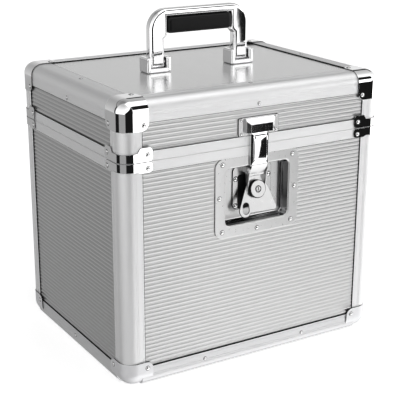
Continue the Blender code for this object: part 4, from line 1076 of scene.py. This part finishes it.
# The stub rivet's profile, as pairs of radius and depth out of the ear
STUB = [(0.0022, -0.0003), (0.0022, 0.0006), (0.0016, 0.0010), (0, 0.0012)]
PIVOT_INSET = 0.0015
PIVOT = (MIDDLE_Y - HALF_Y + PIVOT_INSET, BASE + 0.2460)
NECK_HALF = 0.0131
base_face = -TUB_DEPTH + BASE_GAP + BASE_SHEET
base_high = PIVOT[1] + EAR_RADIUS + BASE_GAP
base_outline = rounded_rectangle(*BASE_HALF, BASE_RADIUS, (0, base_high - BASE_HALF[1]))
base_levels = rounded_levels(base_face - BASE_SHEET, base_face, BASE_EDGE)
# Its walls and back take the dark steel: painted shade round the plate's edge
surfaces = [slab([base_outline], base_levels, FRONT, (1, 1, 0))]
ear_out = PIVOT[0] - SOUTH
ear_levels = rounded_levels(-EAR_SHEET / 2, EAR_SHEET / 2, CUT_EASE, CUT_EASE)
for side in (-1, 1):
    # An ear is drawn as (depth behind the front, height) on a plane that looks along X
    sheet = plane((side * (NECK_HALF + BASE_GAP + EAR_SHEET / 2), SOUTH, 0), (0, 1, 0), (0, 0, 1))
    tip = arc((ear_out, PIVOT[1]), EAR_RADIUS, 90, 270, 12)
    root = [(-base_face, PIVOT[1] - EAR_RADIUS), (-base_face, PIVOT[1] + EAR_RADIUS)]
    outline = np.concatenate([tip, root])
    surfaces.append(slab([outline], ear_levels, sheet))
    out_sheet = plane((side * (NECK_HALF + BASE_GAP + EAR_SHEET), *PIVOT), (0, side, 0), (0, 0, 1))
    surfaces.append(turned(STUB, out_sheet, steps=20))
piece("latch_base_plate", surfaces, NICKEL, "case", ["latch_base"], extras=[EDGE_SHADE])
BASE_RIVET_ACROSS = 0.0235
BASE_RIVET_HEIGHTS = (0.1995, 0.2335)
PAD_ENDS = (-0.0205, -0.0040)
PAD_HEIGHTS = (0.1952, 0.2380)
PAD_SHEET = 0.0008
PAD_SEAT = 0.0001
PAD_CORNER = 0.002
pad_half = [(ends[1] - ends[0]) / 2 for ends in (PAD_ENDS, PAD_HEIGHTS)]
pad_middle = (sum(PAD_ENDS) / 2, BASE + sum(PAD_HEIGHTS) / 2)
pad_outline = rounded_rectangle(*pad_half, PAD_CORNER, pad_middle)
pad = slab([pad_outline], rounded_levels(base_face - PAD_SEAT, base_face + PAD_SHEET, CUT_EASE), FRONT)
# A black sheet on the base plate: painted shadow under the lever
piece("lever_shadow_pad", [pad], BLACK_RUBBER_AND_SHADOW, "case")
base_places = [
    ("front", side * BASE_RIVET_ACROSS, BASE + height, base_face)
    for side in (-1, 1) for height in BASE_RIVET_HEIGHTS
]
rivets("base_rivets", base_places, RIVETS, "case", "nickel_plate", RIVET_RADIUS * 1.15)
print("base plate face", round(base_face, 4))

# %% Lever with its pull lobe
LEVER_TILT = math.radians(10)
LEVER_SHEET = 0.0012
LEVER_EDGE = 0.0005
PLATE_DEPTH = -0.0067726
LEVER_TOP, NECK_END, SHOULDER, FLARE, FOOT = 0.0045, 0.0184, 0.0228, 0.0487, 0.0545
SHOULDER_HALF, FLARE_HALF, WAIST_HALF, WAIST = 0.0176, 0.0282, 0.0182, 0.0300
LOBE_AT = (-0.0172, 0.0495)
LOBE_RADIUS = 0.0085
PULL_AT = (-0.0160, 0.0470)
PULL_HALF = (0.0042, 0.0070)
# A hole with two round ends keeps this much straight side, so its corners stay apart
HOLE_FLAT = 0.0001
LOCK_DROP = 0.0248
SHANK_HOLE = 0.0036
CHEEK_END = 0.030
FOOT_CORNER = 0.003
lever_plane = plane((0, *PIVOT), (1, 0, 0), (0, math.sin(LEVER_TILT), math.cos(LEVER_TILT)))
outline = [(-NECK_HALF, -LEVER_TOP), (-NECK_HALF, -NECK_END), (-WAIST_HALF, -WAIST)]
outline += arc((LOBE_AT[0], -LOBE_AT[1]), LOBE_RADIUS, 165, 330, 20).tolist()
outline += arc((FLARE_HALF - FOOT_CORNER, -FOOT + FOOT_CORNER), FOOT_CORNER, 270, 360, 6).tolist()
outline += [(FLARE_HALF, -FLARE), (SHOULDER_HALF, -SHOULDER), (NECK_HALF, -NECK_END), (NECK_HALF, -LEVER_TOP)]
hole = rounded_rectangle(*PULL_HALF, PULL_HALF[0] - HOLE_FLAT, (PULL_AT[0], -PULL_AT[1]))[::-1]
shank_hole = circle((0, -LOCK_DROP), SHANK_HOLE)[::-1]
levels = rounded_levels(PLATE_DEPTH - LEVER_SHEET, PLATE_DEPTH, LEVER_EDGE, CUT_EASE)
# Its walls and back take the dark steel: painted shade, a dark outline round the lever and a dark back
surfaces = [slab([np.array(outline), hole, shank_hole], levels, lever_plane, (1, 1, 0))]
for side in (-1, 1):
    # A cheek is drawn as (depth out of the lever's plane, height) on a plane that looks along X
    origin, _, up, out = lever_plane
    middle = origin + (side * (NECK_HALF - EAR_SHEET / 2), 0, 0)
    cheek_sheet = plane(middle, out, up)
    cheek = [(PLATE_DEPTH - LEVER_SHEET / 2, -CHEEK_END), (PLATE_DEPTH + EAR_RADIUS, -NECK_END)]
    cheek += arc((0, 0), EAR_RADIUS, -45, 135, 12).tolist()
    cheek += [(PLATE_DEPTH - LEVER_SHEET / 2, -LEVER_TOP)]
    surfaces.append(slab([np.array(cheek)], ear_levels, cheek_sheet))
piece(
    "latch_lever_plate", surfaces, SHADED_LEVER_NICKEL, "lever", ["latch_lever"],
    extras=[EDGE_SHADE],
)
refinish("arm_pin", NICKEL)
print("lever plane leans", round(math.degrees(LEVER_TILT)), "degrees")

# %% [markdown]
# ## The lock
# A round lock case stands on the lever, and a small keyed plug turns in it. Both are turned: a
# profile of radius and depth about the lock's own axis. The keyway is a true slot through the
# plug's face, with the dark of the barrel behind it.

# %% Lock case and plug
LOCK_RADIUS = 0.0112
LOCK_RISE = 0.0055
LOCK_EDGE = 0.0009
PLUG_RADIUS = 0.0032
PLUG_GAP = 0.0003
PLUG_FACE_SHEET = 0.003
PLUG_EDGE = 0.0004
CAM_EDGE = 0.0002
KEYWAY_HALF = (0.0006, 0.0020)
CAM_LENGTH = 0.0075
CAM_HALF = 0.0032
CAM_SHEET = 0.001
lock_at = (0, -LOCK_DROP)
lock_face = PLATE_DEPTH + LOCK_RISE
seat = PLATE_DEPTH + PLUG_GAP
barrel_loops = [circle(lock_at, LOCK_RADIUS, 48), circle(lock_at, PLUG_RADIUS + PLUG_GAP)[::-1]]
# Its walls take the dark steel: painted shade that outlines the lock case
barrel = slab(barrel_loops, rounded_levels(seat, lock_face, LOCK_EDGE), lever_plane, (1, 1, 0))
piece("lock_barrel", [barrel], SHADED_LEVER_NICKEL, "lever", ["lock_case"], extras=[EDGE_SHADE])
keyway = rounded_rectangle(*KEYWAY_HALF, KEYWAY_HALF[0] - HOLE_FLAT, lock_at, 3)[::-1]
plug_foot = lock_face - PLUG_FACE_SHEET
plug_levels = rounded_levels(plug_foot, lock_face + PLUG_GAP, PLUG_EDGE)
plug_face = slab([circle(lock_at, PLUG_RADIUS), keyway], plug_levels, lever_plane)
plug_back = turned([(PLUG_RADIUS, seat), (PLUG_RADIUS, plug_foot)], lever_plane, lock_at)
cam_back = PLATE_DEPTH - LEVER_SHEET - PLUG_GAP - CAM_SHEET
shank = turned([(CAM_HALF, cam_back), (CAM_HALF, seat)], lever_plane, lock_at)
cam_middle = (0, -LOCK_DROP - CAM_LENGTH / 2 + CAM_HALF / 2)
cam_outline = rounded_rectangle(CAM_HALF, (CAM_LENGTH + CAM_HALF) / 2, CAM_HALF / 2, cam_middle)
cam = slab([cam_outline], rounded_levels(cam_back, cam_back + CAM_SHEET, CAM_EDGE), lever_plane)
plug_surfaces = [plug_face, plug_back, shank, cam]
piece("lock_plug_keyed", plug_surfaces, SHADED_LEVER_NICKEL, "lock", ["lock_plug"])
print("lock face stands", round(lock_face * 1000, 1), "mm out of the lever's pivot plane")

# %% [markdown]
# ## Draw arm and keeper
# The arm hooks into a pressed box on the lid. Its plate has a raised panel with sloping sides, and
# below it bends back into the dish, to a barrel on the lever's pin. The keeper is a flange with a
# box whose top and sides slope in, open below for the arm.

# %% Draw arm
ARM_PIVOT = (PIVOT[0] + 0.003, PIVOT[1] - 0.007)
ARM_BARREL = 0.0023
ARM_BORE = 0.0015
ARM_NECK = 0.0112
ARM_HALF = 0.0128
ARM_SHEET = 0.0015
ARM_STAND = 0.0018
ARM_BEND = 0.0125
ARM_EDGE = 0.0006
ARM_SKIRT = 0.0015
ARM_CORNER = 0.0012
ARM_MARGIN = 0.0030
ARM_MARGIN_FALL = 0.00045
ARM_PANEL_SLOPE = 0.0014
ARM_PANEL_RISE = 0.0013
ARM_CROWN = (0.00028, 0.0011)
ARM_GAP = 0.0004
NECK_EASE = 0.0002
KEEPER_BOX_LOW = BASE + 0.2930
arm_low, arm_high = ARM_PIVOT[1] + ARM_BEND, KEEPER_BOX_LOW - ARM_GAP
arm_half = (ARM_HALF, (arm_high - arm_low) / 2)
arm_middle = (0, (arm_low + arm_high) / 2)
arm_face = ARM_STAND + ARM_SHEET
panel_half = (arm_half[0] - ARM_MARGIN, arm_half[1] - ARM_MARGIN)
edge_face = arm_face - ARM_MARGIN_FALL
levels = rounded_levels(ARM_STAND - ARM_SKIRT, edge_face, ARM_EDGE)


def even_loop(half_a, half_b, radius, count=160):
    """A rounded rectangle about the arm's middle, its points evenly spaced along its length."""
    loop = rounded_rectangle(half_a, half_b, radius, arm_middle)
    loop = np.concatenate([loop, loop[:1]])
    along = np.concatenate([[0], np.cumsum(np.linalg.norm(np.diff(loop, axis=0), axis=1))])
    spots = np.linspace(0, along[-1], count, endpoint=False)
    return np.stack([np.interp(spots, along, loop[:, axis]) for axis in (0, 1)], -1)


rings = []
for inset, depth in levels:
    loop = even_loop(arm_half[0] - inset, arm_half[1] - inset, ARM_CORNER)
    rings.append(on_plane(loop, depth, FRONT))
panel_top = (panel_half[0] - ARM_PANEL_SLOPE, panel_half[1] - ARM_PANEL_SLOPE)


def pillow(loop):
    """Height of the panel over its corners: crown a (1 - (a / A)^2) + crown b (1 - (b / B)^2)."""
    shares = np.clip(abs(loop - arm_middle) / panel_top, 0, 1)
    return ((1 - shares**2) * ARM_CROWN).sum(1)


for share in np.linspace(0, 1, 5):
    loop = even_loop(*(half - ARM_PANEL_SLOPE * share for half in panel_half), 2 * ARM_CORNER)
    depth = arm_face + smooth(share) * (ARM_PANEL_RISE + pillow(loop))
    rings.append(on_plane(loop, depth, FRONT))
for share in np.linspace(0.88, 0.04, 9):
    inner = arm_middle + (loop - arm_middle) * share
    rings.append(on_plane(inner, arm_face + ARM_PANEL_RISE + pillow(inner), FRONT))
arm_plate = loft(rings, cap_first=True, cap_last=True)
neck_sheet = plane((0, *ARM_PIVOT), (0, 1, 0), (0, 0, 1))
back_of_plate = SOUTH - ARM_STAND - ARM_PIVOT[0]
neck = arc((0, 0), ARM_BARREL, 150, 390, 20).tolist()
neck += [(back_of_plate, ARM_BEND - ARM_SHEET / 2), (back_of_plate, ARM_BEND + ARM_SHEET)]
neck += [(back_of_plate - ARM_SHEET, ARM_BEND + ARM_SHEET), (back_of_plate - ARM_SHEET, ARM_BEND - ARM_SHEET)]
bore = circle((0, 0), ARM_BORE, 16)[::-1]
neck_levels = rounded_levels(-ARM_NECK, ARM_NECK, NECK_EASE, NECK_EASE)
# The neck's two sides take the dark steel: painted shade on them
arm_neck = slab([np.array(neck), bore], neck_levels, neck_sheet, (2, 1, 1))
piece(
    "draw_arm", [arm_plate, arm_neck], CHROME, "arm", ["latch_arm"],
    extras=[EDGE_SHADE, NICKEL],
)
print("arm plate from", round(arm_low, 4), "to", round(arm_high, 4))

# %% Keeper
KEEPER_HALF = (0.02875, 0.0114)
KEEPER_RADIUS = 0.003
KEEPER_LOW = BASE + 0.2886
KEEPER_EDGE = 0.0005
KEEPER_RIVET_ACROSS = 0.0246
KEEPER_RIVET_HEIGHTS = (0.2915, 0.3088)
HOOD_HALF = 0.020
HOOD_HIGH = BASE + 0.3100
HOOD_RISE = 0.0075
HOOD_SEAT = 0.0002
HOOD_WALL = 0.0026
HOOD_SIDE_WALL = 0.0045
HOOD_SLOPE = 0.0044
HOOD_TOP_SLOPE = 0.0062
HOOD_GAUGE = 0.001
HOOD_EASE = 0.0006
keeper_middle = (0, KEEPER_LOW + KEEPER_HALF[1])


def hood():
    """A box pressed from one sheet: low walls, then a sloping side each way and a steeper top that
    meet the flat face. The top's plane cuts the side walls a little below their ends."""
    cut = (HOOD_SIDE_WALL - HOOD_WALL) * HOOD_TOP_SLOPE / (HOOD_RISE - HOOD_WALL)
    points = []
    for side in (-1, 1):
        outer, inner = side * HOOD_HALF, side * (HOOD_HALF - HOOD_SLOPE)
        points += [(outer, KEEPER_BOX_LOW, -HOOD_SEAT), (outer, KEEPER_BOX_LOW, HOOD_SIDE_WALL)]
        points += [(outer, HOOD_HIGH - cut, HOOD_SIDE_WALL), (outer, HOOD_HIGH, HOOD_WALL)]
        points += [(outer, HOOD_HIGH, -HOOD_SEAT), (inner, KEEPER_BOX_LOW, HOOD_RISE)]
        points.append((inner, HOOD_HIGH - HOOD_TOP_SLOPE, HOOD_RISE))
    points = np.array(points)
    faces = [[0, 1, 2, 3, 4], [1, 5, 6, 2], [7, 8, 9, 10, 11], [8, 12, 13, 9]]
    faces += [[2, 6, 13, 9, 10, 3], [4, 3, 10, 11], [5, 12, 13, 6]]
    return on_plane(points[:, :2], points[:, 2], FRONT), faces


flange_outline = rounded_rectangle(*KEEPER_HALF, KEEPER_RADIUS, keeper_middle)
# Its walls take the dark steel: painted shade round the flange
flange_slab = slab([flange_outline], rounded_levels(-WALL, 0, KEEPER_EDGE), FRONT, (1, 0, 0))
piece("keeper_flange", [flange_slab], NICKEL, "lid", ["latch_keeper"], extras=[EDGE_SHADE])
# The box's cut edges take the dark steel: painted shade along them
piece(
    "keeper_box", [hood()], CHROME, "lid",
    gauge=HOOD_GAUGE, face_way=(0, -1, 0), ease=HOOD_EASE, extras=[EDGE_SHADE],
)
keeper_places = [
    ("front", side * KEEPER_RIVET_ACROSS, BASE + height, 0)
    for side in (-1, 1) for height in KEEPER_RIVET_HEIGHTS
]
smaller = (RIVET_RADIUS * 0.7, RIVET_RISE * 0.7)
rivets("keeper_rivets", keeper_places, RIVETS, "lid", "nickel_plate", *smaller)
print("keeper box opens", round((KEEPER_BOX_LOW - KEEPER_LOW) * 1000, 1), "mm above the flange's foot")

# %% [markdown]
# ## The handle
# Two cast brackets with ears carry a cast bow on cross pins, and a black sleeve sits under its bar.
# A cast block has no sharp edge, so the ears are boxes bent onto round edges, in the same way as
# the corner caps. The bow is a slab with wide round edges whose feet are turned about the pins.

# %% Brackets
def block(low, high, radius, steps=5):
    """The six sides of a round-edged box. Each is a grid that is dense near its edges, and each
    point p becomes q + radius n, where q is p held a radius inside and n the way from q to p."""
    low, high = np.array(low, float), np.array(high, float)
    surfaces = []
    bend = radius * (1 - np.cos(np.linspace(0, math.pi / 2, steps + 1)))
    for axis in range(3):
        first, second = [k for k in range(3) if k != axis]
        lines = [np.concatenate([low[k] + bend, (high[k] - bend)[::-1]]) for k in (first, second)]
        a, b = np.meshgrid(*lines, indexing="ij")
        for end in (low[axis], high[axis]):
            sharp = np.zeros((*a.shape, 3))
            sharp[..., first], sharp[..., second], sharp[..., axis] = a, b, end
            inner = np.clip(sharp, low + radius, high - radius)
            way = sharp - inner
            way /= np.maximum(np.linalg.norm(way, axis=-1, keepdims=True), 1e-9)
            surfaces.append(((inner + radius * way).reshape(-1, 3), grid_faces(*a.shape).tolist()))
    return surfaces


BRACKET_AT = 0.06125
BRACKET_HALF = (0.017, 0.011)
BRACKET_HIGH = 0.0188
BRACKET_EAR = 0.0060
BRACKET_FLOOR = 0.0030
BRACKET_BAR = 0.0025
BRACKET_BAR_HIGH = 0.0052
BRACKET_ROUND = 0.0017
BRACKET_INSET = 0.001
BAR_ROUND = 0.0010
FLOOR_ROUND = 0.0004
PIVOT_RISE = 0.0112
PIN_RADIUS = 0.0025
bracket_floor = reach("handle_bracket_left", 0, 2)
for name, side in (("left", -1), ("right", 1)):
    x = side * BRACKET_AT
    ends = (x - BRACKET_HALF[0], x + BRACKET_HALF[0])
    front, back = MIDDLE_Y - BRACKET_HALF[1], MIDDLE_Y + BRACKET_HALF[1]
    ear_high = bracket_floor + BRACKET_HIGH
    surfaces = block((ends[0], front, bracket_floor), (ends[0] + BRACKET_EAR, back, ear_high), BRACKET_ROUND)
    surfaces += block((ends[1] - BRACKET_EAR, front, bracket_floor), (ends[1], back, ear_high), BRACKET_ROUND)
    bar_ends = (ends[0] + BRACKET_EAR / 2, ends[1] - BRACKET_EAR / 2)
    bar_high = bracket_floor + BRACKET_BAR_HIGH
    for near, far in ((front, front + BRACKET_BAR), (back - BRACKET_BAR, back)):
        surfaces += block((bar_ends[0], near, bracket_floor), (bar_ends[1], far, bar_high), BAR_ROUND)
    floor_low = (bar_ends[0], front + BRACKET_INSET, bracket_floor)
    floor_high = (bar_ends[1], back - BRACKET_INSET, bracket_floor + BRACKET_FLOOR)
    surfaces += block(floor_low, floor_high, FLOOR_ROUND)
    pin_plane = plane((x, MIDDLE_Y, bracket_floor + PIVOT_RISE), (0, 1, 0), (0, 0, 1))
    pin_half = BRACKET_HALF[0] - BRACKET_EAR / 2
    surfaces.append(turned([(PIN_RADIUS, -pin_half), (PIN_RADIUS, pin_half)], pin_plane))
    node = f"handle_bracket_{name}"
    piece(f"{node}_casting", surfaces, CHROME, "lid", [node])
print("brackets stand on", round(bracket_floor, 4))

# %% Bow and grip
BOW_HALF = 0.0715
BOW_LEG = 0.0205
BOW_THICK = 0.0145
BOW_RISE = 0.0665
BOW_RADIUS = 0.025
BOW_BAR = 0.0105
BOW_SHOULDER = 0.0042
BOW_SHOULDER_LOW = 0.027
BOW_EDGE = 0.0044
# The square of the least share of its thickness that a leg keeps at the very end of its foot
FOOT_LEAST = 0.0004
GRIP_HIGH = 0.0205
GRIP_PROUD = 0.0008
GRIP_ROUND = 0.0048
hinge_height = bracket_floor + PIVOT_RISE
foot = BOW_THICK / 2
inner = BOW_HALF - BOW_LEG
shoulder = inner - BOW_SHOULDER
bar_low = BOW_RISE - BOW_BAR
shoulder_low = bar_low - BOW_SHOULDER_LOW
foot_steps = -foot * np.sin(np.radians(np.linspace(0, 90, 9)))
right = [(shoulder, bar_low), (shoulder, shoulder_low + BOW_SHOULDER), (inner, shoulder_low)]
right += [(inner, z) for z in foot_steps] + [(BOW_HALF, z) for z in foot_steps[::-1]]
right += arc((BOW_HALF - BOW_RADIUS, BOW_RISE - BOW_RADIUS), BOW_RADIUS, 0, 90, 18).tolist()
left = [(-a, b) for a, b in reversed(right)]
outline = np.array(right + left)
bow_plane = plane((0, MIDDLE_Y, hinge_height), (1, 0, 0), (0, 0, 1))
bow_points, bow_faces, _ = slab([outline], rounded_levels(-foot, foot, BOW_EDGE, BOW_EDGE, 6), bow_plane)
below = np.clip((hinge_height - bow_points[:, 2]) / foot, 0, 1)
limit = foot * np.sqrt(np.maximum(1 - below**2, FOOT_LEAST))
off = bow_points[:, 1] - MIDDLE_Y
bow_points[:, 1] = MIDDLE_Y + np.where(below > 0, np.clip(off, -limit, limit), off)
piece("handle_bow_casting", [(bow_points, bow_faces)], CHROME, "handle", ["handle_bow"])
grip_top = hinge_height + bar_low - CAP_STAND
grip_low = (-shoulder + CAP_STAND, MIDDLE_Y - foot - GRIP_PROUD, grip_top - GRIP_HIGH)
grip_high = (shoulder - CAP_STAND, MIDDLE_Y + foot + GRIP_PROUD, grip_top)
grip = block(grip_low, grip_high, GRIP_ROUND, 7)
piece("handle_grip_sleeve", grip, BLACK_RUBBER_AND_SHADOW, "handle", ["handle_grip"])
print("bow top", round(hinge_height + BOW_RISE, 4))

# %% [markdown]
# ## The hinge
# The full-width hinge at the back keeps the frame's own leaves, knuckles and pin, which already
# have their true shape, and gets its zinc finish and a row of rivets in each leaf.

# %% Hinge finish and rivets
HINGE_RIVETS = 8
HINGE_RIVET_DROP = 0.0135
HINGE_SPREAD_SHARE = 0.92
LEAF_FACE = 0.0015
for name in ("hinge_body_leaf", "hinge_lid_leaf", "hinge_pin"):
    refinish(name, ZINC)
hinge_half = (reach("hinge_body_leaf", 1, 0) - reach("hinge_body_leaf", 0, 0)) / 2
spread = np.linspace(-hinge_half, hinge_half, HINGE_RIVETS) * HINGE_SPREAD_SHARE
for name, body, way in (("body", "case", -1), ("lid", "lid", 1)):
    places = [("back", a, PARTING + way * HINGE_RIVET_DROP, LEAF_FACE) for a in spread]
    rivets(f"hinge_{name}_rivets", places, NICKEL, body, "nickel_plate", RIVET_RADIUS * 0.9)
print("hinge rivets", 2 * HINGE_RIVETS)
